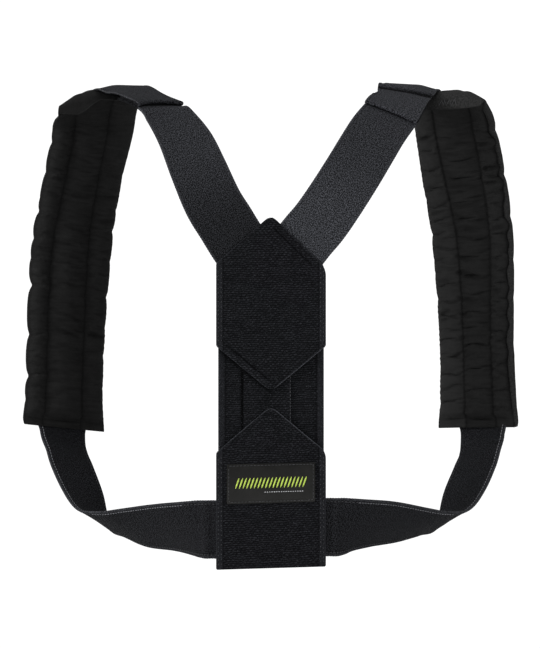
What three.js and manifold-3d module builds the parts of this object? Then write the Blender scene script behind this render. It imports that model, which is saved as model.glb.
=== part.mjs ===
// Posture corrector: a pointed back panel, two shoulder straps, two quilted shoulder pads
// and two under-arm straps, held in the shape they take on a wearer.
// Millimetres. +Z is up, the wearer faces +Y, and the origin is midway between the two shoulder rests.
import * as THREE from 'three';
import { mergeVertices } from 'three/addons/utils/BufferGeometryUtils.js';
import Module from 'manifold-3d';

// Cloth thicknesses and the air between layers
const WEBBING_THICKNESS = 2.0;
const HEM_THICKNESS = 1.6;
const PANEL_THICKNESS = 2.2;
const LABEL_THICKNESS = 0.8;
const LAYER_GAP = 0.3;

// Widths of the bands
const WEBBING_WIDTH = 50;
const WEBBING_EDGE = 1.2;
const PANEL_WIDTH = 90.6;
const FLAP_WIDTH = 94;
const LABEL_WIDTH = 75.4;
const CENTRE_STRIP_LEFT_X = -26;
const CENTRE_STRIP_RIGHT_X = 17;

// Heights on the back panel
const PANEL_APEX_Z = -118.5;
const PANEL_SHOULDER_Z = -160;
const PANEL_SET_BACK = 2;
const PANEL_BOTTOM_Z = -421;
const UPPER_FLAP_CORNER_Z = -231;
const UPPER_FLAP_TIP_Z = -270;
const LOWER_FLAP_TIP_Z = -282;
const LOWER_FLAP_CORNER_Z = -321.5;
const LABEL_TOP_Z = -331;
const LABEL_BOTTOM_Z = -365;
const CENTRE_STRIP_TOP_Z = -212;
const CENTRE_STRIP_BOTTOM_Z = -312;
const CORNER_RADIUS = 4;
const APEX_RADIUS = 7;
const STRIP_CORNER_RADIUS = 1;
const PLATE_BEVEL = 0.5;

// Depths of the panel's layers, from the wearer's back outward
const PANEL_INNER_Y = -90;
const STRAP_LAYER_Y = PANEL_INNER_Y - PANEL_THICKNESS - LAYER_GAP;
const FLAP_LAYER_Y = STRAP_LAYER_Y - WEBBING_THICKNESS - LAYER_GAP;
const LABEL_LAYER_Y = FLAP_LAYER_Y - PANEL_THICKNESS - LAYER_GAP;
const STRAP_MID_Y = STRAP_LAYER_Y - WEBBING_THICKNESS / 2;

// Where the shoulder straps stop under the upper flap, and a block large enough to hold all that is kept
const STRAP_END_Z = -192;
const CENTRE_CLEARANCE = 1;
const KEEP_SIZE = 400;

// Shoulder hem: a band turned under at its lower edge, lying over the strap's end and over the pad's top
const HEM_ROW = 7;
const HEM_TURN_UNDER = 24;
const HEM_LENGTH = 108;
const STRAP_PAST_HEM = 27;
const HEM_FOLD_STEPS = 6;

// Shoulder pad
const PAD_WIDTH = 76;
const PAD_LAST_ROW = 7;
const PAD_SEAM_DEPTH = 4;
const PAD_SEAM_HALF = 1.1;
const PAD_BACK_BULGE = 1.4;
const PAD_VALLEY = 4.2;
const PAD_EDGE_SHARE = 0.1;
const PAD_END_TAPER_TOP = 12;
const PAD_TOP_SHARE = 0.6;
const PAD_FULL_FROM = 10;
const PAD_FULL_AT = 70;
const PAD_END_TAPER_BOTTOM = 9;
const PAD_SCALLOP = 1.5;
const PAD_SCALLOP_PITCH = 27;
const ARM_SIDE_QUICKENING = 1.15;
const PAD_GATHER_PITCH = 17;
const DROOP_FROM = 0.45;
const DROOP_POWER = 3;
const END_SAG_REACH = 9;
const END_TILT_REACH = 45;
const PAD_BACK_STEPS = 5;
const CHANNEL_STEPS = 5;

// The pad's three quilted channels, from its neck side to its arm side:
// share of the width, rise above the seams, and the depth and phase of its gathers
const PAD_CHANNELS = [
  { share: 0.27, rise: 3.8, gather: 0.7, phase: 0.0 },
  { share: 0.46, rise: 4.8, gather: 0.6, phase: 2.1 },
  { share: 0.27, rise: 3.8, gather: 0.8, phase: 4.2 },
];

// How a pad hangs at its two ends: the depth of the near end's sag, the shares of the width over which it
// grows to that depth, and how far the lower end's two corners hang below the straight section
const HANG_LEFT = { sag: 14.3, from: 0.44, to: 0.8, neckDrop: 3, armDrop: -1 };
const HANG_RIGHT = { sag: 8.5, from: 0.1, to: 0.4, neckDrop: -1, armDrop: 4 };

// Under-arm strap: it starts on the pad's back this far from the pad's top
const LOWER_STRAP_START = 48;

// Spacing of the cross-sections along each piece
const STRAP_STEP = 9;
const PAD_STEP = 4.6;
const PATH_STEPS = 600;

// Cloths
const PANEL_CLOTH = { color: 0x1a1b1d, roughness: 0.95, metalness: 0 };
const STRAP_CLOTH = { color: 0x2d2e31, roughness: 0.92, metalness: 0 };
const PAD_CLOTH = { color: 0x1c1d1d, roughness: 0.85, metalness: 0 };
const LABEL_CLOTH = { color: 0x2d2d2c, roughness: 0.8, metalness: 0 };

// Section tables, a row per cross-section of the webbing.
// x is measured outward from the middle of the back,
// lean tips the width direction up from level, turn swings its outer edge towards the back,
// droop hangs the pad's arm-side edge straight down from the section.

// From the upper flap, up the back, under the hem, over the shoulder and a little way down the pad
const SHOULDER_LEFT = [
  { x: -4, y: STRAP_MID_Y, z: -190, lean: -32, turn: 0 },
  { x: 26.1, y: STRAP_MID_Y, z: -146, lean: -32, turn: 0 },
  { x: 38.6, y: -93.3, z: -126, lean: -29, turn: 0 },
  { x: 50, y: -91, z: -107.3, lean: -25, turn: 4 },
  { x: 61.8, y: -86, z: -80.4, lean: -19, turn: 13 },
  { x: 73.5, y: -78, z: -53.4, lean: -10, turn: 22 },
  { x: 87.1, y: -67, z: -32.2, lean: -3, turn: 28 },
  { x: 97, y: -59, z: -23, lean: 1, turn: 29 },
  { x: 116, y: -36, z: -13, lean: -1, turn: 32 },
  { x: 134, y: 0, z: -2, lean: -2, turn: 27 },
  { x: 144, y: 18, z: -8, lean: -3, turn: 24 },
  { x: 149, y: 28, z: -23, lean: -2, turn: 24 },
];
const SHOULDER_RIGHT = [
  { x: -4, y: STRAP_MID_Y, z: -184, lean: -36, turn: 0 },
  { x: 27.4, y: STRAP_MID_Y, z: -142, lean: -36, turn: 0 },
  { x: 41.5, y: -93.3, z: -125, lean: -34, turn: 0 },
  { x: 54.4, y: -91, z: -106.5, lean: -31, turn: 3 },
  { x: 70, y: -86, z: -82, lean: -30, turn: 4 },
  { x: 82, y: -79, z: -62, lean: -28, turn: 5 },
  { x: 93, y: -68, z: -44, lean: -25, turn: 8 },
  { x: 104.5, y: -52.5, z: -28.5, lean: -23, turn: 12 },
  { x: 113, y: -34, z: -16, lean: -16, turn: 16 },
  { x: 126, y: 4, z: -1, lean: -6, turn: 22 },
  { x: 133, y: 19, z: -5, lean: -4, turn: 24 },
  { x: 139, y: 32, z: -17, lean: -2, turn: 24 },
];

// From the pad's top, over the shoulder, down the front, under the arm and back to the lower flap
const LOOP_LEFT = [
  { x: 149, y: -17, z: -8, lean: -4, turn: 24, droop: 0 },
  { x: 153, y: 0, z: 0, lean: -2, turn: 24, droop: 20 },
  { x: 160, y: 20, z: -18, lean: -2, turn: 21, droop: 10 },
  { x: 163.5, y: 29, z: -36, lean: -2, turn: 23, droop: 4 },
  { x: 174, y: 42, z: -80, lean: 0, turn: 29, droop: 0 },
  { x: 184.5, y: 48.5, z: -143, lean: 0, turn: 23, droop: 0 },
  { x: 190, y: 45.5, z: -232, lean: 1, turn: 30, droop: 0 },
  { x: 190.5, y: 36, z: -307, lean: 4, turn: 31, droop: 0 },
  { x: 184.4, y: 24, z: -331, lean: 5, turn: 44, droop: 0 },
  { x: 170.7, y: 8, z: -361, lean: 12, turn: 45, droop: 0 },
  { x: 157.8, y: -8, z: -385.7, lean: 38, turn: 47, droop: 0 },
  { x: 141.3, y: -21, z: -390.5, lean: 49, turn: 47, droop: 0 },
  { x: 120, y: -38, z: -391.8, lean: 56, turn: 30, droop: 0 },
  { x: 93.4, y: -62, z: -389.4, lean: 63, turn: 20, droop: 0 },
  { x: 72, y: -83, z: -388.4, lean: 74, turn: 10, droop: 0 },
  { x: 57, y: -92.5, z: -388, lean: 87, turn: 0, droop: 0 },
  { x: 47, y: STRAP_MID_Y, z: -388, lean: 90, turn: 0, droop: 0 },
  { x: 8, y: STRAP_MID_Y, z: -388, lean: 90, turn: 0, droop: 0 },
];
const LOOP_RIGHT = [
  { x: 149, y: -18, z: -8.5, lean: -1, turn: 24, droop: -2.5 },
  { x: 157, y: 0, z: 0, lean: -1, turn: 25, droop: 11 },
  { x: 165.8, y: 20, z: -15, lean: -2, turn: 24, droop: 7 },
  { x: 169.4, y: 29, z: -33, lean: -2, turn: 22, droop: 3 },
  { x: 177.8, y: 42, z: -78, lean: 0, turn: 17, droop: 0 },
  { x: 186.3, y: 48.5, z: -133, lean: 0, turn: 21, droop: 0 },
  { x: 190.4, y: 46.5, z: -221, lean: 1, turn: 35, droop: 0 },
  { x: 191, y: 36, z: -306, lean: -2, turn: 33, droop: 0 },
  { x: 188.8, y: 24, z: -331, lean: 4, turn: 46, droop: 0 },
  { x: 174.9, y: 8, z: -362, lean: 12, turn: 44, droop: 0 },
  { x: 161.4, y: -8, z: -386, lean: 37, turn: 48, droop: 0 },
  { x: 144.5, y: -21, z: -389.6, lean: 49, turn: 51, droop: 0 },
  { x: 123.6, y: -38, z: -389.3, lean: 57, turn: 39, droop: 0 },
  { x: 96.9, y: -62, z: -386.4, lean: 66, turn: 26, droop: 0 },
  { x: 74, y: -83, z: -385.6, lean: 73, turn: 14, droop: 0 },
  { x: 57, y: -92.5, z: -386, lean: 87, turn: 0, droop: 0 },
  { x: 47, y: STRAP_MID_Y, z: -386, lean: 90, turn: 0, droop: 0 },
  { x: 8, y: STRAP_MID_Y, z: -386, lean: 90, turn: 0, droop: 0 },
];

const wasm = await Module();
wasm.setup();

const { clamp, degToRad, lerp, smoothstep } = THREE.MathUtils;

// A smooth path through a section table, read by the distance walked along it
function makePath(rows) {
  const columns = {};
  for (const name of Object.keys(rows[0])) {
    const points = rows.map((row, index) => new THREE.Vector2(index, row[name]));
    const curve = new THREE.SplineCurve(points);
    columns[name] = (share) => curve.getPoint(share).y;
  }
  const centreAt = (share) => new THREE.Vector3(columns.x(share), columns.y(share), columns.z(share));

  const walked = [0];
  for (let step = 1; step <= PATH_STEPS; step += 1) {
    const stride = centreAt(step / PATH_STEPS).distanceTo(centreAt((step - 1) / PATH_STEPS));
    walked.push(walked[step - 1] + stride);
  }

  function shareAt(distance) {
    let step = 1;
    while (step < PATH_STEPS && walked[step] < distance) {
      step += 1;
    }
    const part = (distance - walked[step - 1]) / (walked[step] - walked[step - 1]);
    return clamp((step - 1 + part) / PATH_STEPS, 0, 1);
  }

  function sectionAt(distance) {
    const share = shareAt(distance);
    const reach = 1 / PATH_STEPS;
    const before = centreAt(Math.max(share - reach, 0));
    const along = centreAt(Math.min(share + reach, 1)).sub(before).normalize();
    const lean = degToRad(columns.lean(share));
    const turn = degToRad(columns.turn(share));
    const across = new THREE.Vector3(
      Math.cos(lean) * Math.cos(turn),
      -Math.sin(turn),
      Math.sin(lean) * Math.cos(turn),
    );
    across.addScaledVector(along, -across.dot(along)).normalize();
    const inward = new THREE.Vector3().crossVectors(along, across);
    const droop = columns.droop ? columns.droop(share) : 0;
    return { centre: centreAt(share), along, across, inward, droop };
  }

  const distanceAtRow = (index) => walked[Math.round((index / (rows.length - 1)) * PATH_STEPS)];
  return { sectionAt, distanceAtRow, length: walked[PATH_STEPS] };
}

// Closed body through rings of equal count, each running from the width direction towards the inward one
function loft(rings) {
  const positions = [];
  const triangles = [];
  const count = rings[0].length;
  for (const ring of rings) {
    for (const point of ring) {
      positions.push(point.x, point.y, point.z);
    }
  }
  for (let row = 0; row < rings.length - 1; row += 1) {
    for (let spot = 0; spot < count; spot += 1) {
      const next = (spot + 1) % count;
      const low = row * count;
      const high = low + count;
      triangles.push(low + spot, low + next, high + spot);
      triangles.push(low + next, high + next, high + spot);
    }
  }
  addCap(positions, triangles, rings[0], 0, false);
  addCap(positions, triangles, rings[rings.length - 1], (rings.length - 1) * count, true);
  const geometry = new THREE.BufferGeometry();
  geometry.setAttribute('position', new THREE.Float32BufferAttribute(positions, 3));
  geometry.setIndex(triangles);
  return geometry;
}

// Fan of triangles closing one end of a loft
function addCap(positions, triangles, ring, first, facesForward) {
  const middle = new THREE.Vector3();
  ring.forEach((point) => middle.addScaledVector(point, 1 / ring.length));
  const hub = positions.length / 3;
  positions.push(middle.x, middle.y, middle.z);
  for (let spot = 0; spot < ring.length; spot += 1) {
    const here = first + spot;
    const next = first + ((spot + 1) % ring.length);
    if (facesForward) {
      triangles.push(hub, here, next);
    } else {
      triangles.push(hub, next, here);
    }
  }
}

// Band of webbing along a path; line lists how far along and how deep its middle lies
function band(path, line, thickness) {
  const sections = line.map(({ distance, depth }) => {
    const section = path.sectionAt(distance);
    return { across: section.across, middle: section.centre.addScaledVector(section.inward, depth) };
  });
  const half = WEBBING_WIDTH / 2;
  const flat = half - WEBBING_EDGE;
  const skin = thickness / 2;
  const outline = [
    [-half, 0], [-flat, -skin], [0, -skin], [flat, -skin],
    [half, 0], [flat, skin], [0, skin], [-flat, skin],
  ];
  const rings = sections.map(({ across, middle }, index) => {
    const before = sections[Math.max(index - 1, 0)].middle;
    const after = sections[Math.min(index + 1, sections.length - 1)].middle;
    const forward = after.clone().sub(before).normalize();
    const face = new THREE.Vector3().crossVectors(forward, across).normalize();
    return outline.map(([side, rise]) => {
      return middle.clone().addScaledVector(across, side).addScaledVector(face, rise);
    });
  });
  return loft(rings);
}

// Evenly spaced distances from start to end
function evenly(start, end, step) {
  const count = Math.ceil((end - start) / step);
  return Array.from({ length: count + 1 }, (_, index) => start + ((end - start) * index) / count);
}

function toManifold(geometry) {
  const bare = geometry.clone();
  bare.deleteAttribute('normal');
  bare.deleteAttribute('uv');
  const merged = mergeVertices(bare);
  const mesh = new wasm.Mesh({
    numProp: 3,
    vertProperties: new Float32Array(merged.attributes.position.array),
    triVerts: new Uint32Array(merged.index.array),
  });
  return new wasm.Manifold(mesh);
}

function fromManifold(body) {
  const mesh = body.getMesh();
  const geometry = new THREE.BufferGeometry();
  geometry.setAttribute('position', new THREE.Float32BufferAttribute(mesh.vertProperties, 3));
  geometry.setIndex(Array.from(mesh.triVerts));
  return geometry;
}

// Shoulder strap: from the middle of the back, under the upper flap, to just past the hem
function shoulderStrap(path) {
  const end = path.distanceAtRow(HEM_ROW) + STRAP_PAST_HEM;
  const line = evenly(0, end, STRAP_STEP).map((distance) => ({ distance, depth: 0 }));
  const whole = toManifold(band(path, line, WEBBING_THICKNESS));
  const keep = new THREE.BoxGeometry(KEEP_SIZE, KEEP_SIZE, KEEP_SIZE);
  keep.translate(CENTRE_CLEARANCE + KEEP_SIZE / 2, 0, STRAP_END_Z + KEEP_SIZE / 2);
  return fromManifold(whole.intersect(toManifold(keep)));
}

// Shoulder hem: the turned-under layer, a round fold at the lower edge, then the layer over the shoulder
function shoulderHem(path) {
  const start = path.distanceAtRow(HEM_ROW);
  const underDepth = -(WEBBING_THICKNESS / 2 + LAYER_GAP + HEM_THICKNESS / 2);
  const overDepth = underDepth - HEM_THICKNESS - LAYER_GAP;
  const foldRadius = (underDepth - overDepth) / 2;
  const line = [];
  for (const distance of evenly(0, HEM_TURN_UNDER, STRAP_STEP).reverse()) {
    line.push({ distance: start + distance, depth: underDepth });
  }
  for (let step = 1; step < HEM_FOLD_STEPS; step += 1) {
    const angle = (Math.PI * step) / HEM_FOLD_STEPS;
    line.push({
      distance: start - foldRadius * Math.sin(angle),
      depth: underDepth - foldRadius * (1 - Math.cos(angle)),
    });
  }
  const end = Math.min(start + HEM_LENGTH, path.length);
  for (const distance of evenly(start, end, STRAP_STEP / 2)) {
    line.push({ distance, depth: overDepth });
  }
  return band(path, line, HEM_THICKNESS);
}

// How far the pad's inner face stands in from its seam plane,
// by share of the width and distance from its top
function padRise(share, distance, length) {
  let left = 0;
  const topEnd = smoothstep(distance, 0, PAD_END_TAPER_TOP);
  const bottomEnd = smoothstep(length - distance, 0, PAD_END_TAPER_BOTTOM);
  const full = PAD_TOP_SHARE + (1 - PAD_TOP_SHARE) * smoothstep(distance, PAD_FULL_FROM, PAD_FULL_AT);
  for (const channel of PAD_CHANNELS) {
    if (share <= left + channel.share || channel === PAD_CHANNELS[PAD_CHANNELS.length - 1]) {
      const spot = clamp((share - left) / channel.share, 0, 1);
      const dome = Math.sqrt(Math.sin(Math.PI * spot));
      const gather = channel.gather * Math.sin((2 * Math.PI * distance) / PAD_GATHER_PITCH + channel.phase);
      const valley = PAD_VALLEY * smoothstep(Math.min(share, 1 - share), 0, PAD_EDGE_SHARE);
      return topEnd * bottomEnd * full * (valley + (channel.rise + gather) * dome);
    }
    left += channel.share;
  }
  return 0;
}

// Shoulder pad: a flat back and three soft channels on the side that meets the body
function shoulderPad(path, ends) {
  const length = path.distanceAtRow(PAD_LAST_ROW);
  const rings = evenly(0, length, PAD_STEP).map((distance) => {
    const { centre, across, inward, droop } = path.sectionAt(distance);
    const wave = (2 * Math.PI * distance) / PAD_SCALLOP_PITCH;
    const nearEnd = Math.exp(-distance / END_SAG_REACH);
    const farEnd = smoothstep(distance, length - END_TILT_REACH, length);
    const place = (share, rise) => {
      const edge = share < 0.5 ? Math.sin(wave) : Math.cos(wave * ARM_SIDE_QUICKENING);
      const half = PAD_WIDTH / 2 + PAD_SCALLOP * edge;
      const side = (2 * share - 1) * half;
      const hang = droop * Math.max(0, (share - DROOP_FROM) / (1 - DROOP_FROM)) ** DROOP_POWER;
      const sag = nearEnd * ends.sag * smoothstep(share, ends.from, ends.to);
      const tilt = farEnd * lerp(ends.neckDrop, ends.armDrop, share);
      const point = centre.clone().addScaledVector(across, side);
      point.addScaledVector(inward, PAD_SEAM_DEPTH + rise);
      point.z -= hang + sag + tilt;
      return point;
    };
    const ring = [];
    for (let step = 0; step <= PAD_BACK_STEPS; step += 1) {
      const share = step / PAD_BACK_STEPS;
      ring.push(place(share, -PAD_SEAM_HALF - PAD_BACK_BULGE * Math.sin(Math.PI * share)));
    }
    let right = 1;
    for (const channel of [...PAD_CHANNELS].reverse()) {
      for (let step = 0; step < CHANNEL_STEPS; step += 1) {
        const share = right - (channel.share * step) / CHANNEL_STEPS;
        ring.push(place(share, PAD_SEAM_HALF + padRise(share, distance, length)));
      }
      right -= channel.share;
    }
    ring.push(place(0, PAD_SEAM_HALF));
    return ring;
  });
  return loft(rings);
}

// Under-arm strap: down the pad's back, out of its lower end, round under the arm, in behind the lower flap
function lowerStrap(path) {
  const distances = evenly(LOWER_STRAP_START, path.length, STRAP_STEP);
  const line = distances.map((distance) => ({ distance, depth: 0 }));
  return band(path, line, WEBBING_THICKNESS);
}

// Outline through corner points, each corner rounded by its own radius
function roundedShape(corners) {
  const shape = new THREE.Shape();
  corners.forEach(({ x, z, radius }, index) => {
    const corner = new THREE.Vector2(x, z);
    const before = corners[(index + corners.length - 1) % corners.length];
    const after = corners[(index + 1) % corners.length];
    const enter = new THREE.Vector2(before.x, before.z).sub(corner).setLength(radius).add(corner);
    const leave = new THREE.Vector2(after.x, after.z).sub(corner).setLength(radius).add(corner);
    if (index === 0) {
      shape.moveTo(enter.x, enter.y);
    } else {
      shape.lineTo(enter.x, enter.y);
    }
    shape.quadraticCurveTo(corner.x, corner.y, leave.x, leave.y);
  });
  shape.closePath();
  return shape;
}

// Flat layer of cloth standing upright, its inner face at the given depth
function plate(corners, thickness, innerY) {
  const bevel = Math.min(PLATE_BEVEL, thickness / 3);
  const geometry = new THREE.ExtrudeGeometry(roundedShape(corners), {
    depth: thickness - 2 * bevel,
    bevelThickness: bevel,
    bevelSize: bevel,
    bevelOffset: -bevel,
    bevelSegments: 1,
    curveSegments: 4,
  });
  geometry.deleteAttribute('normal');
  geometry.deleteAttribute('uv');
  geometry.translate(0, 0, bevel);
  geometry.rotateX(Math.PI / 2);
  geometry.translate(0, innerY, 0);
  return mergeVertices(geometry);
}

function backPanel() {
  const half = PANEL_WIDTH / 2;
  return plate([
    { x: 0, z: PANEL_APEX_Z - PANEL_SET_BACK, radius: APEX_RADIUS },
    { x: -half, z: PANEL_SHOULDER_Z - PANEL_SET_BACK, radius: CORNER_RADIUS },
    { x: -half, z: PANEL_BOTTOM_Z, radius: CORNER_RADIUS },
    { x: half, z: PANEL_BOTTOM_Z, radius: CORNER_RADIUS },
    { x: half, z: PANEL_SHOULDER_Z - PANEL_SET_BACK, radius: CORNER_RADIUS },
  ], PANEL_THICKNESS, PANEL_INNER_Y);
}

function upperFlap() {
  const half = FLAP_WIDTH / 2;
  return plate([
    { x: 0, z: PANEL_APEX_Z, radius: APEX_RADIUS },
    { x: -half, z: PANEL_SHOULDER_Z, radius: CORNER_RADIUS },
    { x: -half, z: UPPER_FLAP_CORNER_Z, radius: CORNER_RADIUS },
    { x: 0, z: UPPER_FLAP_TIP_Z, radius: APEX_RADIUS },
    { x: half, z: UPPER_FLAP_CORNER_Z, radius: CORNER_RADIUS },
    { x: half, z: PANEL_SHOULDER_Z, radius: CORNER_RADIUS },
  ], PANEL_THICKNESS, FLAP_LAYER_Y);
}

function lowerFlap() {
  const half = FLAP_WIDTH / 2;
  return plate([
    { x: 0, z: LOWER_FLAP_TIP_Z, radius: APEX_RADIUS },
    { x: -half, z: LOWER_FLAP_CORNER_Z, radius: CORNER_RADIUS },
    { x: -half, z: PANEL_BOTTOM_Z, radius: CORNER_RADIUS },
    { x: half, z: PANEL_BOTTOM_Z, radius: CORNER_RADIUS },
    { x: half, z: LOWER_FLAP_CORNER_Z, radius: CORNER_RADIUS },
  ], PANEL_THICKNESS, FLAP_LAYER_Y);
}

function uprightStrip(left, right, top, bottom, thickness, innerY) {
  const radius = STRIP_CORNER_RADIUS;
  return plate([
    { x: left, z: top, radius },
    { x: left, z: bottom, radius },
    { x: right, z: bottom, radius },
    { x: right, z: top, radius },
  ], thickness, innerY);
}

function named(name, geometry, cloth) {
  const mesh = new THREE.Mesh(geometry, new THREE.MeshStandardMaterial(cloth));
  mesh.name = name;
  return mesh;
}

// One side of the wearer; the left side is the same building work mirrored, from its own tables
function oneSide(name, shoulderRows, loopRows, ends) {
  const shoulder = makePath(shoulderRows);
  const loop = makePath(loopRows);
  const group = new THREE.Group();
  group.name = `${name}_side`;
  group.add(named(`shoulder_strap_${name}`, shoulderStrap(shoulder), STRAP_CLOTH));
  group.add(named(`shoulder_hem_${name}`, shoulderHem(shoulder), STRAP_CLOTH));
  group.add(named(`shoulder_pad_${name}`, shoulderPad(loop, ends), PAD_CLOTH));
  group.add(named(`lower_strap_${name}`, lowerStrap(loop), STRAP_CLOTH));
  return group;
}

const corrector = new THREE.Group();
corrector.name = 'posture_corrector';
corrector.add(named('back_panel', backPanel(), PANEL_CLOTH));
corrector.add(named('upper_flap', upperFlap(), PANEL_CLOTH));
corrector.add(named('lower_flap', lowerFlap(), PANEL_CLOTH));
corrector.add(named('centre_strip', uprightStrip(
  CENTRE_STRIP_LEFT_X, CENTRE_STRIP_RIGHT_X, CENTRE_STRIP_TOP_Z, CENTRE_STRIP_BOTTOM_Z,
  WEBBING_THICKNESS, STRAP_LAYER_Y,
), PANEL_CLOTH));
corrector.add(named('label', uprightStrip(
  -LABEL_WIDTH / 2, LABEL_WIDTH / 2, LABEL_TOP_Z, LABEL_BOTTOM_Z,
  LABEL_THICKNESS, LABEL_LAYER_Y,
), LABEL_CLOTH));

const left = oneSide('left', SHOULDER_LEFT, LOOP_LEFT, HANG_LEFT);
left.scale.x = -1;
corrector.add(left);
corrector.add(oneSide('right', SHOULDER_RIGHT, LOOP_RIGHT, HANG_RIGHT));

export default corrector;
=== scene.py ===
import bpy
import numpy as np
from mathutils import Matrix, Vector


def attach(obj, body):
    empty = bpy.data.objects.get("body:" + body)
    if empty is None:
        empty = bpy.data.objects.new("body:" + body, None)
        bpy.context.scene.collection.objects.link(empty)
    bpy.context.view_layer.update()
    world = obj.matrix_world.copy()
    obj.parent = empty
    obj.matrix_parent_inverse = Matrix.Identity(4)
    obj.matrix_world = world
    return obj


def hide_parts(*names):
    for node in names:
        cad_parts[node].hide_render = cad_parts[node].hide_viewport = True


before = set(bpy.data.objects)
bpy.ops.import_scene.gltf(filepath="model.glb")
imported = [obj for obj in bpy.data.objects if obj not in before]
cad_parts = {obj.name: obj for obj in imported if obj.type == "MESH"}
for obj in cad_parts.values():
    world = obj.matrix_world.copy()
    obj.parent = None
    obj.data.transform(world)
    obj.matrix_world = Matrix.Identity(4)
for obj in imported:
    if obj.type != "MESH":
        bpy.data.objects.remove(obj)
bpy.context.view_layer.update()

MM = 0.001

# Cloth thicknesses and the depths of the panel's layers, as in the solids
WEBBING_THICKNESS = 2.0
HEM_THICKNESS = 1.6
PANEL_THICKNESS = 2.2
LABEL_THICKNESS = 0.8
LAYER_GAP = 0.3
PANEL_INNER_Y = -90.0
STRAP_LAYER_Y = PANEL_INNER_Y - PANEL_THICKNESS - LAYER_GAP
FLAP_LAYER_Y = STRAP_LAYER_Y - WEBBING_THICKNESS - LAYER_GAP
LABEL_LAYER_Y = FLAP_LAYER_Y - PANEL_THICKNESS - LAYER_GAP
STRAP_MID_Y = STRAP_LAYER_Y - WEBBING_THICKNESS / 2

# Panel, flaps, strip and label: widths, heights, the lean of the low layers, corners and steps
PANEL_HALF = 45.3
FLAP_HALF = 47.0
PANEL_APEX_Z = -118.5
PANEL_SHOULDER_Z = -160.0
PANEL_SET_BACK = 2.0
PANEL_BOTTOM_Z = -421.0
LEAN = 0.03
LEAN_OVER = (-300.0, -345.0)
UPPER_FLAP_CORNER_Z = -231.0
UPPER_FLAP_RIGHT_Z = -164.0
UPPER_FLAP_TIP_Z = -270.0
LOWER_FLAP_TIP_Z = -282.0
LOWER_FLAP_CORNER_Z = -321.5
STRIP_LEFT_X = -26.0
STRIP_GROOVE_X = -23.4
STRIP_GROOVE_DEPTH = 1.3
STRIP_RIGHT_X = 17.0
STRIP_TOP_Z = -212.0
STRIP_BOTTOM_Z = -312.0
STRIP_SEAM_INSET = 0.5
LABEL_HALF = 37.7
LABEL_TOP_Z = -331.0
LABEL_BOTTOM_Z = -365.0
LABEL_COLUMNS = 72
LABEL_ROW_STEP = 0.5
LABEL_EDGE_RADIUS = 0.4
LABEL_BUCKLE = 0.25
LABEL_BUCKLE_OVER = (1.5, 6.0)
LABEL_TUCK = 0.3
LABEL_TUCK_WIDTH = 0.5
LABEL_SEAM_INSET = 1.6
LABEL_STITCH_RISE = 0.05
LABEL_BARS = 19
LABEL_BAR_PITCH = 3.2
LABEL_BAR_SLANT = 1.6
LABEL_BAR_RADIUS = 0.75
LABEL_BAR_LOW_Z = -352.0
LABEL_BAR_HIGH_Z = -343.0
LABEL_LINE_Z = -355.5
LABEL_LINE_OVER = (-6.0, 28.0)
LIME_DARK = (0.3, 0.4, 0.06, 1.0)
LIME_LIGHT = (0.5, 0.64, 0.12, 1.0)
CORNER_RADIUS = 1.8
SOFT_RADIUS = 7.0
APEX_RADIUS = 7.0
SMALL_RADIUS = 1.0
CORNER_STEPS = 6
ROW_INSET = 0.12
BACK_COLUMNS = 52
FLAP_COLUMNS = 104
BACK_WEAVE_SHIFT = 200.0
WALL_RELIEF = 0.3

# Ribbed webbing of the panel
RIB_PITCH = 1.9
RIB_HEIGHT = 0.45
RIB_BRICK = 3.8
RIB_STEPS = 4
SELVAGE_WIDTH = 6.0
CUT_EDGE_RADIUS = 0.9
# Cut edges are pale partly from wear and partly from a painted highlight; the extra paleness of edges facing
# right is painted highlight only.
EDGE_WEAR_AND_HIGHLIGHT = 0.1
EDGE_PALE_WIDTH = 0.6
PAINTED_EDGE_HIGHLIGHT = 0.5
PANEL_THREAD_RADIUS = 0.24
FLAP_SHADOW = 0.9
FLAP_SHADOW_REACH = 2.6
FLAP_WELT_WIDTH = 6.6
FLAP_WELT_RISE = 1.0
FLAP_LINE_WIDTH = 0.7
# Pale threads in a flap's selvage: distance from its side, length of a stitch, space between stitches
SELVAGE_SPECKS = ((1.9, 1.1, 2.6), (4.5, 1.0, 3.1))
SPECKS_INSET = 3.0

# Stitches: rings of one as share of its length and swell, then the length, space and radius of each kind.
# The edge and hem stitches start with their distance in from the edge and their rise off the band's middle.
STITCH_SIDES = 5
STITCH_RINGS = ((0.0, 0.35), (0.25, 1.0), (0.75, 1.0), (1.0, 0.35))
EDGE_STITCH = (0.15, 0.0, 1.5, 0.9, 0.32)
HEM_STITCH = (0.15, -0.3, 1.5, 0.5, 0.26)
LINE_STITCH = (1.9, 1.3, 0.26)
BRIGHT_STITCH = (1.9, 0.9, 0.42)
LINE_RISE = 1.05
LABEL_SEAM_STITCH = (2.4, 0.6, 0.2)
LABEL_LINE_STITCH = (1.4, 0.6, 0.3)
# Length and space alone
STRIP_STITCH = (1.9, 1.2)

# Smooth webbing of the straps
WEBBING_WIDTH = 50.0
WEBBING_HALF = WEBBING_WIDTH / 2
RIM_WIDTH = 3.2
RIM_INSETS = (0.0, 0.12, 0.4, 0.8, 1.4, 2.0, 2.5, 2.9, 3.2, 3.6, 4.1)
RIM_PALE_OVER = (22.2, 24.2)
FLAT_INSET = 5.4
FLAT_COLUMNS = 15
BAND_RIPPLE = 0.1
RIM_RISE = 0.16
RIM_GROOVE = 0.22
BAND_STEP = 2.0
HEM_STEP = 1.5
TONE_OVER = (0.15, 0.6)

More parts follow.
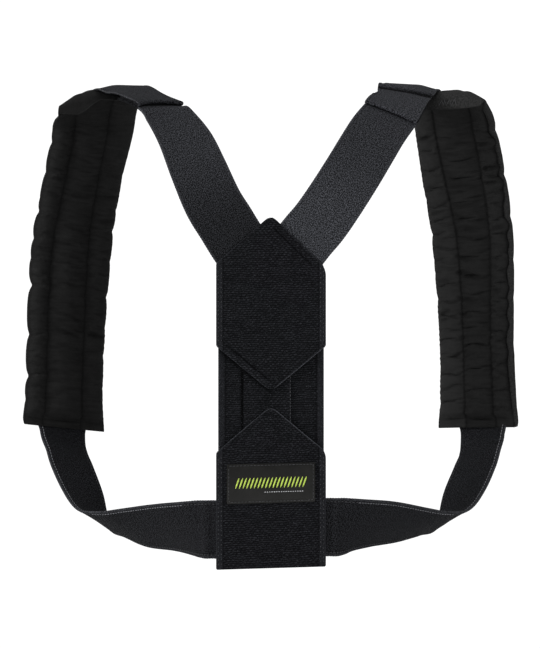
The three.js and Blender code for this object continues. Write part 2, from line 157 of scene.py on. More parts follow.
# Shoulder strap and its hem
STRAP_START_ROW = 0.86
HEM_ROW = 7
HEM_TURN_UNDER = 24.0
HEM_LENGTH = 108.0
STRAP_PAST_HEM = 27.0
HEM_FOLD_STEPS = 8
HEM_CURL = 3.5
HEM_CURL_OVER = (1.0, 24.0)
HEM_TUCK = 0.5
HEM_TUCK_BEFORE = 6.0
HEM_TUCK_REACH = 1.6
HEM_WAIST_AT = 27.0
HEM_WAIST_REACH = 11.0
HEM_ROLL_AT = 46.0
HEM_ROLL_HALF = 5.0

# Shoulder pad
PAD_WIDTH = 76.0
PAD_LAST_ROW = 7
PAD_SEAM_DEPTH = 4.0
PAD_BACK_RISE = 1.1
PAD_BACK_BULGE = 1.3
PAD_BACK_TAPER = 6.0
PAD_BACK_PUCKER = 0.25
PAD_PUCKER = 0.35
PAD_LEAST_RISE = 0.2
PAD_VALLEY = 4.2
PAD_EDGE_SHARE = 0.1
PAD_END_TAPER_TOP = 9.0
PAD_TOP_SHARE = 0.6
PAD_TOP_OVER = (10.0, 70.0)
PAD_TOP_PUFF = 2.0
PAD_TOP_PUFF_AT = 12.0
PAD_TOP_PUFF_REACH = 12.0
PAD_TOP_PUFF_OVER = (0.4, 0.7, 0.8, 1.0)
PAD_END_TAPER_BOTTOM = 6.0
PAD_END_BAND = 7.5
PAD_CHANNEL_POWER = 0.35
PAD_SEAM_WIDTH = 0.9
PAD_WELT_RADIUS = 0.5
WELT_SIDES = 6
WELT_TONE = 1.3
PIPING_TONE = 1.35
PIPING_ROWS = (8, -3)
BARTACK_ROWS = (1, 3)
BARTACK_STITCHES = 8
BARTACK_RISE = 0.3
BARTACK_RADIUS = 0.24
PINCH_REACH = 6.0
LIP_OVER = (10.0, 40.0)
LIP_NARROWS = 0.5
LIP_NARROWS_REACH = 60.0
SEAM_SHIFT_OVER = (0.15, 0.75)
PAD_SWELL = 1.2
PAD_FLARE = 1.6
PAD_FLARE_REACH = 26.0
PAD_ROW_STEP = 1.6
PAD_TURN_FROM = 0.86
DROOP_FROM = 0.45
DROOP_POWER = 3
END_SAG_REACH = 9.0
END_TILT_REACH = 45.0
NOTCH_REACH = 5.0
CREASE_WIDTH = 1.45
CREASE_FADE = (0.0, 0.15, 0.7, 1.0)
# Quilted channels from the neck side to the arm side: share of the width, rise, columns
PAD_CHANNELS = ((0.27, 3.4, 14), (0.46, 4.4, 22), (0.27, 3.4, 14))
PAD_SEAMS = np.cumsum([0.0] + [share for share, _, _ in PAD_CHANNELS])

# Under-arm strap: where it starts on the pad's back, and the rows where the bright line beside its arm edge,
# a pale thread made brighter by a painted highlight, passes from the inner face to the outer one and where it
# ends. The windows are start, full, until, end.
LOWER_STRAP_START = 48.0
BRIGHT_LINE_ROWS = (10.6, 14.2)
PANEL_ROW = 16
LOWER_DRIFT_REACH = 22.0
LOWER_TWIST = 0.16
LOWER_TWIST_OVER = (-6.0, 5.0, 10.0, 40.0)
LOWER_WAVE = 0.9
LOWER_WAVE_PITCH = 13.0
LOWER_WAVE_OVER = (0.0, 3.0, 6.0, 26.0)

# How pale the under-arm straps are, and the shade at the shoulder straps' hem fold
LOWER_TONE = 0.13
FOLD_SHADOW = 0.3
FOLD_SHADOW_REACH = 2.2
HEM_TUCK_SHADE = 0.6

# Cloth simulation of the pads, laid flat in units of its own
SIM_SCALE = 0.02
SIM_FRAMES = 28
SIM_GATHER_FRAMES = 16
SIM_MOST_MOVE = 5.0
SIM_GATHER_FROM = (45.0, 95.0)
SIM_SETTINGS = {
    "quality": 6, "tension_stiffness": 20.0, "compression_stiffness": 20.0, "bending_stiffness": 1.0,
    "use_pressure": True, "uniform_pressure_force": 12.0,
}

# Stage and light, in metres and watts: name, place, size and power of each lamp
FLOOR_HALF = 8.0
FLOOR_Z = -0.52
WHITE_STRENGTH = 1.1
WORLD_STRENGTH = 0.6
LAMP_AIM = (0, 0, -0.2)
LAMPS = (
    ("key", (-2.3, -1.1, 0.8), 1.2, 60),
    ("fill", (1.9, -1.7, 0.2), 1.4, 16),
    ("top", (-0.3, -0.4, 2.2), 1.6, 20),
)

# Camera, in metres and millimetres
CAMERA_PLACE = (-0.00086, -1.9968, -0.212)
CAMERA_LENS = 123.457
CAMERA_SENSOR = 36.0
CAMERA_REACH = 50

# Steps along each path, and cells on a side of the noise table
PATH_STEPS = 600
NOISE_CELLS = 64

# Section tables, a row per cross-section of the webbing: x, y, z, lean, turn, droop
SHOULDER_LEFT = (
    (-4, STRAP_MID_Y, -190, -32, 0, 0),
    (26.1, STRAP_MID_Y, -146, -32, 0, 0),
    (38.6, -93.3, -126, -29, 0, 0),
    (50, -91, -107.3, -25, 4, 0),
    (61.8, -86, -80.4, -19, 13, 0),
    (73.5, -78, -53.4, -10, 22, 0),
    (87.1, -67, -32.2, -3, 28, 0),
    (97, -59, -23, 1, 29, 0),
    (116, -36, -13, -1, 32, 0),
    (134, 0, -2, -2, 27, 0),
    (144, 18, -8, -3, 24, 0),
    (149, 28, -23, -2, 24, 0),
)
SHOULDER_RIGHT = (
    (-4, STRAP_MID_Y, -184, -36, 0, 0),
    (27.4, STRAP_MID_Y, -142, -36, 0, 0),
    (41.5, -93.3, -125, -34, 0, 0),
    (54.4, -91, -106.5, -31, 3, 0),
    (70, -86, -82, -30, 4, 0),
    (82, -79, -62, -28, 5, 0),
    (93, -68, -44, -25, 8, 0),
    (104.5, -52.5, -28.5, -23, 12, 0),
    (113, -34, -16, -16, 16, 0),
    (126, 4, -1, -6, 22, 0),
    (133, 19, -5, -4, 24, 0),
    (139, 32, -17, -2, 24, 0),
)
LOOP_LEFT = (
    (149, -17, -8, -4, 24, 0),
    (153, 0, 0, -2, 24, 20),
    (160, 20, -18, -2, 21, 10),
    (163.5, 29, -36, -2, 23, 4),
    (174, 42, -80, 0, 29, 0),
    (184.5, 48.5, -143, 0, 23, 0),
    (190, 45.5, -232, 1, 30, 0),
    (190.5, 36, -307, 4, 31, 0),
    (184.4, 24, -331, 5, 44, 0),
    (170.7, 8, -361, 12, 45, 0),
    (157.8, -8, -385.7, 38, 47, 0),
    (141.3, -21, -390.5, 49, 47, 0),
    (120, -38, -391.8, 56, 30, 0),
    (93.4, -62, -389.4, 63, 20, 0),
    (72, -83, -388.4, 74, 10, 0),
    (57, -92.5, -388, 87, 0, 0),
    (47, STRAP_MID_Y, -388, 90, 0, 0),
    (8, STRAP_MID_Y, -388, 90, 0, 0),
)
LOOP_RIGHT = (
    (149, -18, -8.5, -1, 24, -2.5),
    (157, 0, 0, -1, 25, 11),
    (165.8, 20, -15, -2, 24, 7),
    (169.4, 29, -33, -2, 22, 3),
    (177.8, 42, -78, 0, 17, 0),
    (186.3, 48.5, -133, 0, 21, 0),
    (190.4, 46.5, -221, 1, 35, 0),
    (191, 36, -306, -2, 33, 0),
    (188.8, 24, -331, 4, 46, 0),
    (174.9, 8, -362, 12, 44, 0),
    (161.4, -8, -386, 37, 48, 0),
    (144.5, -21, -389.6, 49, 51, 0),
    (123.6, -38, -389.3, 57, 39, 0),
    (96.9, -62, -386.4, 66, 26, 0),
    (74, -83, -385.6, 73, 14, 0),
    (57, -92.5, -386, 87, 0, 0),
    (47, STRAP_MID_Y, -386, 90, 0, 0),
    (8, STRAP_MID_Y, -386, 90, 0, 0),
)

# Where the pads' edges are pulled in by their gathers: height, depth of the notch
NOTCHES = {
    ("left", "neck"): (
        (-71, 0.7), (-102, 1.3), (-122, 2.2), (-151, 1.1), (-185, 1.8), (-213, 0.8), (-239, 0.9), (-270, 0.6),
    ),
    ("left", "arm"): (
        (-47, 2.4), (-76, 1.9), (-101, 1.0), (-113, 3.4), (-137, 2.5), (-154, 1.5), (-179, 4.5), (-224, 3.3),
        (-262, 3.8), (-284, 1.4),
    ),
    ("right", "neck"): (
        (-92, 1.0), (-126, 1.9), (-151, 0.7), (-163, 0.6), (-187, 1.5), (-250, 0.5), (-284, 0.7),
    ),
    ("right", "arm"): ((-34, 1.6), (-79, 1.7), (-117, 1.7), (-155, 1.0), (-190, 0.6), (-232, 0.5)),
}

# Where the right pad's lip is pinched by its seam: height, share of the lip taken up
LIP_PINCHES = (
    (-45, 0.6), (-59, 0.3), (-71, 0.35), (-86, 0.6), (-98, 0.3), (-124, 0.55), (-141, 0.25), (-155, 0.4),
    (-181, 0.35), (-196, 0.3), (-215, 0.4), (-240, 0.2),
)

# Creases across the pads' channels: share and height where each starts and ends, and its depth
CREASES = {
    "left": (
        (0.72, -201, 0.32, -210, 1.2), (0.72, -216, 0.32, -226, 1.2), (0.26, -220, 0.02, -223, 1.0),
        (0.70, -148, 0.30, -152, 0.7), (0.62, -164, 0.36, -166, 0.6), (0.72, -248, 0.50, -251, 0.6),
        (0.70, -121, 0.33, -126, 0.9), (0.70, -92, 0.32, -92, 0.7), (0.95, -80, 0.76, -78, 1.0),
        (0.25, -70, 0.03, -70, 0.9), (0.25, -90, 0.03, -89, 0.9), (0.25, -113, 0.03, -112, 1.0),
    ),
    "right": (
        (0.30, -52, 0.58, -55, 0.8), (0.30, -82, 0.68, -84, 0.8), (0.30, -101, 0.72, -100, 1.0),
        (0.30, -110, 0.48, -114, 0.7), (0.42, -124, 0.66, -125, 0.8), (0.28, -148, 0.55, -153, 0.9),
        (0.28, -163, 0.66, -171, 1.0), (0.29, -187, 0.70, -193, 1.0), (0.28, -201, 0.58, -206, 0.8),
        (0.29, -225, 0.62, -225, 0.7), (0.76, -47, 0.97, -45, 1.0), (0.76, -70, 0.97, -70, 1.0),
        (0.76, -85, 0.97, -84, 0.9), (0.76, -126, 0.97, -124, 1.0), (0.76, -183, 0.90, -183, 0.8),
        (0.03, -105, 0.25, -104, 0.8), (0.03, -39, 0.20, -36, 0.8), (0.03, -171, 0.24, -171, 0.7),
        (0.03, -203, 0.24, -198, 0.9), (0.03, -208, 0.20, -206, 0.8),
    ),
}

# What differs between the two sides. Of the pad: the arm seam's lip, the heights where it is pinched and
# the radius of its piping, how far each inner seam lies towards the arm at the top and at the bottom, the sag
# of the near end and the shares it grows over, the drop of the far end at the neck and at the arm, the spare
# cloth gathered in, how deep the creases are and how dark their painted shade is, how much painted light
# pales each channel, how much painted shade darkens the back, how speckled the back is, and where a bar of
# stitches crosses it. Of the webbing: the hem's roll, how far it is drawn in, the bow of its fold and its
# tone, how pale the shoulder strap is at the panel and at the shoulder, partly by painted sheen, and how far
# the under-arm strap lies towards the arm below the pad.
SIDES = {
    "left": {
        "mirrored": True, "shoulder": SHOULDER_LEFT, "loop": LOOP_LEFT, "seed": 3,
        "lip": 0.5, "pinches": (), "piping": 0.0, "seam_shifts": ((6.0, 2.5), (1.6, 3.2)),
        "end_sag": (14.3, 0.44, 0.8), "end_tilt": (3.0, -1.0), "gather": 0.1,
        "crease_scale": 1.6, "crease_shade": 0.5,
        "channel_painted_light": (0.05, 0.0, 0.0), "back_painted_shade": 0.6, "speckle": 0.3, "bartack": (),
        "roll": 0.0, "waist": 0.0, "fold_bow": 6.0, "hem_tone": 0.26,
        "strap_tone_and_sheen": (0.14, 0.41), "drift": 0.3,
    },
    "right": {
        "mirrored": False, "shoulder": SHOULDER_RIGHT, "loop": LOOP_RIGHT, "seed": 8,
        "lip": 6.5, "pinches": LIP_PINCHES, "piping": 0.8, "seam_shifts": ((0.0, 7.4), (0.0, 0.0)),
        "end_sag": (8.5, 0.1, 0.4), "end_tilt": (-1.0, 4.0), "gather": 0.3,
        "crease_scale": 2.2, "crease_shade": 0.5,
        "channel_painted_light": (0.42, 0.05, 0.15), "back_painted_shade": 1.0, "speckle": 1.5, "bartack": (0.5, 0.71),
        "roll": 3.2, "waist": 3.5, "fold_bow": 1.5, "hem_tone": 0.45,
        "strap_tone_and_sheen": (0.61, 0.37), "drift": 3.6,
    },
}


# Helpers for arrays, paths, meshes and stitches

def ramp(value, low, high):
    """Smooth step from 0 at low to 1 at high."""
    share = np.clip((np.asarray(value, float) - low) / (high - low), 0, 1)
    return share * share * (3 - 2 * share)


def window(value, start, full, until, end):
    """Smooth rise from 0 at start to 1 at full, and fall from until to end."""
    return ramp(value, start, full) * ramp(value, end, until)


def hump(value, middle, reach):
    """Smooth bump of 1 at the middle, nearly gone at twice the reach."""
    return np.exp(-((value - middle) / reach) ** 2)


def unit(vectors):
    return vectors / np.linalg.norm(vectors, axis=-1, keepdims=True)


def evenly(start, end, step):
    return np.linspace(start, end, int(np.ceil((end - start) / step)) + 1)


def walk(line):
    """Distance walked along a polyline at each of its points."""
    return np.concatenate([[0], np.cumsum(np.linalg.norm(np.diff(line, axis=0), axis=1))])


def crowded(steps, share):
    """Places from 0 to 1 that lie closer together towards both ends, the more so the larger the share."""
    even = np.linspace(0, 1, steps + 1)
    return (1 - share) * even + share * (1 - np.cos(np.pi * even)) / 2


def noise(u, v, seed):
    """Smooth random field from -1 to 1 with one cell per unit, the same on every run."""
    table = np.random.default_rng(seed).uniform(-1, 1, (NOISE_CELLS, NOISE_CELLS))
    u, v = np.broadcast_arrays(np.asarray(u, float), np.asarray(v, float))
    col, row = np.floor(u).astype(int), np.floor(v).astype(int)
    du, dv = ramp(u - col, 0, 1), ramp(v - row, 0, 1)
    at = lambda i, j: table[(row + j) % NOISE_CELLS, (col + i) % NOISE_CELLS]
    low = at(0, 0) * (1 - du) + at(1, 0) * du
    high = at(0, 1) * (1 - du) + at(1, 1) * du
    return low * (1 - dv) + high * dv


def smooth(values, share):
    """Uniform Catmull-Rom curve through evenly spaced values, read at shares of its length."""
    last = len(values) - 1
    spot = np.clip(share, 0, 1) * last
    low = np.minimum(spot.astype(int), last - 1)
    t = spot - low
    before, here = values[np.maximum(low - 1, 0)], values[low]
    there, after = values[low + 1], values[np.minimum(low + 2, last)]
    leave, arrive = (there - before) / 2, (after - here) / 2
    cubic = 2 * here - 2 * there + leave + arrive
    square = 3 * there - 3 * here - 2 * leave - arrive
    return ((cubic * t + square) * t + leave) * t + here


def placed(name, data):
    """A new object in the scene that shows this mesh, lamp or camera."""
    obj = bpy.data.objects.new(name, data)
    bpy.context.scene.collection.objects.link(obj)
    return obj


class Path:
    """Smooth path through a section table, read by the distance walked along it."""

    def __init__(self, rows):
        self.columns = np.array(rows, float).T
        self.shares = np.linspace(0, 1, PATH_STEPS + 1)
        self.walked = walk(self.centre(self.shares))
        self.length = self.walked[-1]

    def centre(self, shares):
        return np.stack([smooth(column, shares) for column in self.columns[:3]], -1)

    def row_distance(self, index):
        return float(np.interp(index / (self.columns.shape[1] - 1), self.shares, self.walked))

    def height_distance(self, height):
        """Distance at which the path, on its way down the front, reaches a height."""
        down = np.arange(int(PATH_STEPS / (self.columns.shape[1] - 1)), int(PATH_STEPS / 2))
        heights = self.centre(self.shares[down])[:, 2]
        return float(np.interp(-height, -heights, self.walked[down]))

    def sections(self, distance):
        share = np.interp(distance, self.walked, self.shares)
        reach = 1 / PATH_STEPS
        along = unit(self.centre(np.minimum(share + reach, 1)) - self.centre(np.maximum(share - reach, 0)))
        lean, turn = (np.radians(smooth(self.columns[i], share)) for i in (3, 4))
        across = np.stack([np.cos(lean) * np.cos(turn), -np.sin(turn), np.sin(lean) * np.cos(turn)], -1)
        across = unit(across - along * np.sum(across * along, -1, keepdims=True))
        inward = np.cross(along, across)
        return self.centre(share), across, inward, smooth(self.columns[5], share)


class Shape:
    """Points, faces and point values of one piece, gathered before its mesh is made."""

    def __init__(self):
        self.points, self.weave, self.relief, self.rim = [], [], [], []
        self.faces, self.looks = [], []
        self.count = 0

    def add(self, points, faces, weave=None, relief=0.5, rim=0.0, look=0):
        points = np.asarray(points, float).reshape(-1, 3)
        total = len(points)
        self.points.append(points)
        self.weave.append(np.zeros((total, 2)) if weave is None else weave.reshape(-1, 2))
        self.relief.append(np.broadcast_to(np.ravel(relief), total))
        self.rim.append(np.broadcast_to(np.ravel(rim), total))
        for face in faces:
            self.faces.append([int(spot) + self.count for spot in face])
        self.looks.extend([look] * len(faces))
        self.count += total

    def lean(self):
        """Tilts what lies low on the panel, where its layers hang a little askew."""
        for points in self.points:
            points[:, 2] += LEAN * points[:, 0] * ramp(points[:, 2], *LEAN_OVER)

    def piece(self, name, cloths, slot, node, mirrored=False):
        """Makes the mesh, and has it stand for this node."""
        points = np.concatenate(self.points) * MM
        faces = self.faces
        if mirrored:
            points[:, 0] *= -1
            faces = flipped(faces)
        mesh = bpy.data.meshes.new(name)
        mesh.from_pydata(points.tolist(), [], faces)
        for cloth in cloths:
            mesh.materials.append(cloth)
        mesh.polygons.foreach_set("material_index", self.looks)
        corner = np.zeros(len(mesh.loops), int)
        mesh.loops.foreach_get("vertex_index", corner)
        layer = mesh.uv_layers.new(name="weave")
        layer.uv.foreach_set("vector", np.concatenate(self.weave)[corner].ravel())
        for label, values in (("relief", self.relief), ("rim", self.rim)):
            made = mesh.attributes.new(label, "FLOAT", "POINT")
            made.data.foreach_set("value", np.concatenate(values))
        mesh.shade_smooth()
        mesh.update()
        obj = placed(name, mesh)
        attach(obj, "root")
        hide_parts(node)
        return obj


def grid_faces(rows, columns, closed=False):
    """Four-sided faces between neighbours of a grid, with the last column joined to the first if closed."""
    spots = np.arange(rows * columns).reshape(rows, columns)
    if closed:
        spots = np.concatenate([spots, spots[:, :1]], 1)
    quads = np.stack([spots[:-1, :-1], spots[:-1, 1:], spots[1:, 1:], spots[1:, :-1]], -1)
    return quads.reshape(-1, 4).tolist()


def tube_faces(rows, sides):
    """Faces of a tube of rings, closed at both ends."""
    first, last = list(range(sides)), [(rows - 1) * sides + spot for spot in range(sides)]
    return grid_faces(rows, sides, closed=True) + [first[::-1], last]


def flipped(faces):
    return [face[::-1] for face in faces]


def spokes(lengthwise, helper, sides):
    """Directions out from a line, evenly turned about it, and the turns."""
    first = unit(np.cross(lengthwise, helper))
    second = np.cross(lengthwise, first)
    turns = np.arange(sides) * (2 * np.pi / sides)
    return first[:, None] * np.cos(turns)[:, None] + second[:, None] * np.sin(turns)[:, None], turns


def dashes(starts, ends, radius):
    """Short spindle-shaped stitches between pairs of points."""
    lengthwise = unit(ends - starts)
    helper = np.where(np.abs(lengthwise[:, 2:]) < 0.9, [[0, 0, 1.0]], [[1.0, 0, 0]])
    out, _ = spokes(lengthwise, helper, STITCH_SIDES)
    share, swell = np.array(STITCH_RINGS).T[..., None]
    middle = starts[:, None] * (1 - share) + ends[:, None] * share
    points = middle[:, :, None] + out[:, None] * radius * swell[..., None]
    one = tube_faces(len(share), STITCH_SIDES)
    bases = np.arange(len(starts)) * len(share) * STITCH_SIDES
    return points, [[base + spot for spot in face] for base in bases for face in one]


def welt(shape, line, radius, tone):
    """Adds a thin round seam along a polyline, closed at both ends."""
    out, turns = spokes(unit(np.gradient(line, axis=0)), [0.0, 0.0, 1.0], WELT_SIDES)
    weave = np.stack(np.broadcast_arrays(turns * radius, walk(line)[:, None]), -1)
    shape.add(line[:, None] + out * radius, tube_faces(len(line), WELT_SIDES), weave, tone)


def sewn(line, stitch, gap, radius):
    """Stitches laid along a polyline."""
    walked = walk(line)
    begin = np.arange(gap / 2, walked[-1] - stitch, stitch + gap)
    at = lambda distance: np.stack([np.interp(distance, walked, column) for column in line.T], -1)
    return dashes(at(begin), at(begin + stitch), radius)


# Materials

class Graph:
    """A cloth's node tree, with short calls for the nodes that the cloths use."""

    def __init__(self, name, roughness, specular):
        self.material = bpy.data.materials.new(name)
        self.material.use_nodes = True
        self.tree = self.material.node_tree
        self.shader = self.tree.nodes["Principled BSDF"]
        self.shader.inputs["Roughness"].default_value = roughness
        self.shader.inputs["Specular IOR Level"].default_value = specular

    def add(self, kind, inputs, output=0, **settings):
        made = self.tree.nodes.new(kind)
        for name, value in settings.items():
            setattr(made, name, value)
        for key, value in inputs.items():
            self.feed(made.inputs[key], value)
        return made.outputs[output]

    def feed(self, socket, value):
        if isinstance(value, bpy.types.NodeSocket):
            self.tree.links.new(value, socket)
        else:
            socket.default_value = value

    def math(self, operation, first, second=0.0):
        return self.add("ShaderNodeMath", {0: first, 1: second}, operation=operation)

    def times(self, first, second):
        return self.math("MULTIPLY", first, second)

    def plus(self, first, second):
        return self.math("ADD", first, second)

    def value(self, name):
        return self.add("ShaderNodeAttribute", {}, "Fac", attribute_name=name)

    def weave(self):
        """The cloth's own coordinates in millimetres: across, along."""
        return self.add("ShaderNodeUVMap", {}, uv_map="weave")

    def split(self, vector):
        return [self.add("ShaderNodeSeparateXYZ", {0: vector}, axis) for axis in (0, 1)]

    def noise(self, vector, scale, detail):
        return self.add("ShaderNodeTexNoise", {"Vector": vector, "Scale": scale, "Detail": detail})

    def span(self, value, low, high, to_low=0.0, to_high=1.0):
        inputs = {"Value": value, "From Min": low, "From Max": high, "To Min": to_low, "To Max": to_high}
        return self.add("ShaderNodeMapRange", inputs)

    def mix(self, share, first, second):
        return self.add("ShaderNodeMix", {0: share, 6: first, 7: second}, 2, data_type="RGBA")

    def wave(self, value, pitch):
        return self.math("SINE", self.times(value, 2 * np.pi / pitch))

    def bricks(self, vector, across, along):
        """Wave of small bumps in alternate rows, from -1 to 1."""
        x, y = self.split(vector)
        return self.times(self.wave(x, across), self.wave(y, along))

    def herringbone(self, vector, band, pitch):
        """Wave of slanted ridges that turn back at each band across the cloth, from -1 to 1."""
        x, y = self.split(vector)
        return self.wave(self.plus(y, self.math("PINGPONG", x, band)), pitch)

    def finish(self, colour, height, depth):
        self.feed(self.shader.inputs["Base Color"], colour)
        bump = self.add("ShaderNodeBump", {"Height": height, "Distance": depth * MM, "Strength": 1.0})
        self.feed(self.shader.inputs["Normal"], bump)
        return self.material


def grey(level, blue=0.0):
    return (level * (1 - blue / 4), level, level * (1 + blue), 1.0)


def panel_webbing():
    """Ribbed elastic: grooves darkened as painted shade, paler crests, stray pale fibres, cut edges paler
    from wear and a painted highlight.
    """
    graph = Graph("panel_webbing", roughness=0.95, specular=0.03)
    place = graph.weave()
    broad = graph.noise(place, 0.06, 3)
    fibre = graph.noise(place, 1.1, 2)
    # Dark where the relief is low: painted shade in the rib grooves, and the painted shadows and shade
    # carried in the relief.
    crest = graph.times(graph.value("relief"), graph.span(fibre, 0.3, 0.7, 0.3, 1.5))
    colour = graph.mix(crest, grey(0.0009, 0.15), grey(0.0215, 0.15))
    colour = graph.mix(graph.span(broad, 0.3, 0.7, 0.0, 0.25), colour, grey(0.006, 0.15))
    fleck = graph.span(graph.noise(place, 1.0, 1), 0.66, 0.72)
    colour = graph.mix(graph.times(fleck, 0.5), colour, grey(0.06, 0.14))
    # Pale cut edges, from wear and a painted highlight.
    wear_and_highlight = graph.times(graph.value("rim"), graph.span(fibre, 0.35, 0.6, 0.25, 1.0))
    colour = graph.mix(wear_and_highlight, colour, grey(0.12, 0.14))
    height = graph.plus(fibre, graph.noise(place, 2.6, 2))
    return graph.finish(colour, height, 0.25)


def strap_webbing():
    """Fine herringbone elastic: slanted ridges, pale flecks, paler selvage threads from wear and a painted
    highlight.
    """
    graph = Graph("strap_webbing", roughness=0.9, specular=0.05)
    place = graph.weave()
    tone = graph.value("relief")
    twill = graph.herringbone(place, 4.0, 2.0)
    fibre = graph.noise(place, 1.1, 2)
    broad = graph.noise(place, 0.05, 3)
    ridge = graph.times(graph.span(twill, -1.0, 1.0), graph.span(tone, 0.2, 0.6, 0.55, 0.42))
    contrast = graph.span(tone, 0.2, 0.6, 1.7, 1.0)
    speckle = graph.times(graph.span(fibre, 0.38, 0.62, -1.0, 1.0), contrast)
    light = graph.plus(graph.plus(ridge, 0.08), speckle)
    dark = graph.mix(tone, grey(0.0, 0.14), grey(0.006, 0.14))
    pale = graph.mix(tone, grey(0.0075, 0.14), grey(0.092, 0.14))
    colour = graph.mix(light, dark, pale)
    patch = graph.mix(tone, dark, grey(0.034, 0.14))
    colour = graph.mix(graph.span(broad, 0.3, 0.7, 0.0, 0.2), colour, patch)
    fleck = graph.span(graph.noise(place, 1.0, 1), 0.58, 0.66)
    fleck = graph.times(fleck, graph.span(tone, 0.0, 1.0, 0.5, 0.9))
    colour = graph.mix(fleck, colour, graph.mix(tone, grey(0.022, 0.13), grey(0.13, 0.13)))
    # Pale rims, from wear and a painted highlight.
    wear_and_highlight = graph.times(graph.value("rim"), graph.span(fibre, 0.4, 0.6, 0.1, 0.6))
    colour = graph.mix(wear_and_highlight, colour, grey(0.05, 0.13))
    height = graph.plus(graph.times(twill, 0.5), graph.times(fibre, 1.5))
    return graph.finish(colour, height, 0.22)


def pad_cloth():
    """Thin plain-woven cover: pale specks on its back, paler welts, and painted light and shade in its
    channels, seams and creases.
    """
    graph = Graph("pad_cloth", roughness=0.9, specular=0.05)
    place = graph.weave()
    relief = graph.value("relief")
    broad = graph.noise(place, 0.07, 4)
    fine = graph.noise(place, 0.9, 3)
    drawn = graph.add("ShaderNodeVectorMath", {0: place, 1: (0.12, 1.0, 1.0)}, operation="MULTIPLY")
    wrinkle = graph.noise(drawn, 0.4, 3)
    light = graph.plus(graph.span(broad, 0.3, 0.7, 0.0, 0.5), graph.span(fine, 0.3, 0.7, 0.0, 0.3))
    light = graph.plus(light, graph.span(wrinkle, 0.3, 0.7, -0.15, 0.35))
    colour = graph.mix(light, grey(0.0064), grey(0.0122))
    speck = graph.times(graph.value("rim"), graph.span(graph.noise(place, 0.8, 2), 0.35, 0.65))
    colour = graph.mix(graph.times(speck, 0.6), colour, grey(0.026))
    # Relief below 1 darkens, as painted shade in seams and creases and on the left pad's back; relief above 1
    # pales welts and piping, and channels by painted light.
    colour = graph.mix(graph.span(relief, 0.0, 1.0, 0.6, 0.0), colour, grey(0.003))
    colour = graph.mix(graph.span(relief, 1.0, 2.0), colour, grey(0.024))
    height = graph.plus(graph.times(graph.bricks(place, 0.9, 0.9), 0.35), fine)
    height = graph.plus(height, graph.times(wrinkle, 4.0))
    return graph.finish(colour, height, 0.12)


def label_cloth():
    """Smooth satin-woven label with fine lines across it, and a painted sheen that makes it paler towards its
    foot.
    """
    graph = Graph("label_cloth", roughness=0.7, specular=0.08)
    place = graph.weave()
    line = graph.bricks(place, 3.4, 0.8)
    broad = graph.noise(place, 0.05, 3)
    light = graph.plus(graph.span(line, -1, 1, 0.0, 0.35), graph.span(broad, 0.3, 0.7, 0.0, 0.65))
    _, height = graph.split(place)
    # Painted sheen: paler towards the label's foot.
    light = graph.plus(light, graph.span(height, LABEL_BOTTOM_Z, LABEL_TOP_Z, 0.4, -0.35))
    colour = graph.mix(light, grey(0.008, -0.04), grey(0.017, -0.04))
    return graph.finish(colour, line, 0.06)


def thread(name, dark, light):
    """Twisted sewing thread."""
    graph = Graph(name, roughness=0.8, specular=0.1)
    twist = graph.noise(graph.add("ShaderNodeTexCoord", {}, "Object"), 900.0, 2)
    colour = graph.mix(graph.span(twist, 0.3, 0.7), dark, light)
    return graph.finish(colour, twist, 0.1)


# Panel, flaps and strip

def rounded(corners):
    """Outline through corner points (x, z, radius), each corner rounded by its own radius."""
    line = []
    total = len(corners)
    for index, (x, z, radius) in enumerate(corners):
        corner = np.array([x, z], float)
        enter = corner + unit(np.array(corners[index - 1][:2]) - corner) * radius
        leave = corner + unit(np.array(corners[(index + 1) % total][:2]) - corner) * radius
        for t in np.linspace(0, 1, CORNER_STEPS + 1):
            line.append(enter * (1 - t) ** 2 + 2 * corner * t * (1 - t) + leave * t ** 2)
    return np.array(line)


def box_outline(left, right, bottom, top):
    """Upright rectangle with slightly rounded corners."""
    corners = ((left, top), (left, bottom), (right, bottom), (right, top))
    return rounded([(x, z, SMALL_RADIUS) for x, z in corners])


def edge_distance(x, z, outline):
    """Distance from each point to the nearest part of a closed outline."""
    spots = np.stack([np.ravel(x), np.ravel(z)], -1)
    nearest = np.full(len(spots), np.inf)
    for start, end in zip(outline, np.roll(outline, -1, axis=0)):
        run = end - start
        length = run @ run
        if length < 1e-12:
            continue
        share = np.clip((spots - start) @ run / length, 0, 1)
        gap = np.linalg.norm(spots - start - share[:, None] * run, axis=1)
        nearest = np.minimum(nearest, gap)
    return nearest.reshape(np.shape(x))


def plate_grid(outline, columns, row_step):
    """Rows of points that fill an outline from its top to its bottom."""
    x, z = outline.T
    middle = (x.max() + x.min()) / 2
    heights = evenly(z.min() + ROW_INSET, z.max() - ROW_INSET, row_step)[::-1]
    ends = []
    for chain in (outline[x <= middle + 0.01], outline[x >= middle - 0.01]):
        chain = chain[np.argsort(chain[:, 1])]
        ends.append(np.interp(heights, chain[:, 1], chain[:, 0])[:, None])
    return ends[0] + (ends[1] - ends[0]) * crowded(columns - 1, 0.4), np.repeat(heights[:, None], columns, 1)


def ribs(x, z, seed):
    """Relief of ribbed webbing, from 0 in the grooves to 1 on the crests."""
    row = z / RIB_PITCH + 0.34 * noise(x / 4, z / 8, seed)
    crest = (0.5 - 0.5 * np.cos(2 * np.pi * row)) ** 0.8
    shift = 0.5 * (np.floor(row) % 2) + 0.2 * noise(np.floor(row) * 1.7, 0.5, seed + 1)
    across = x / RIB_BRICK + shift
    brick = 0.5 - 0.5 * np.cos(2 * np.pi * across)
    own = 0.8 + 0.3 * noise(np.floor(across), np.floor(row), seed + 2)
    return np.clip(crest * (0.25 + 0.75 * np.sqrt(brick)) * own * 1.06, 0, 1.2)


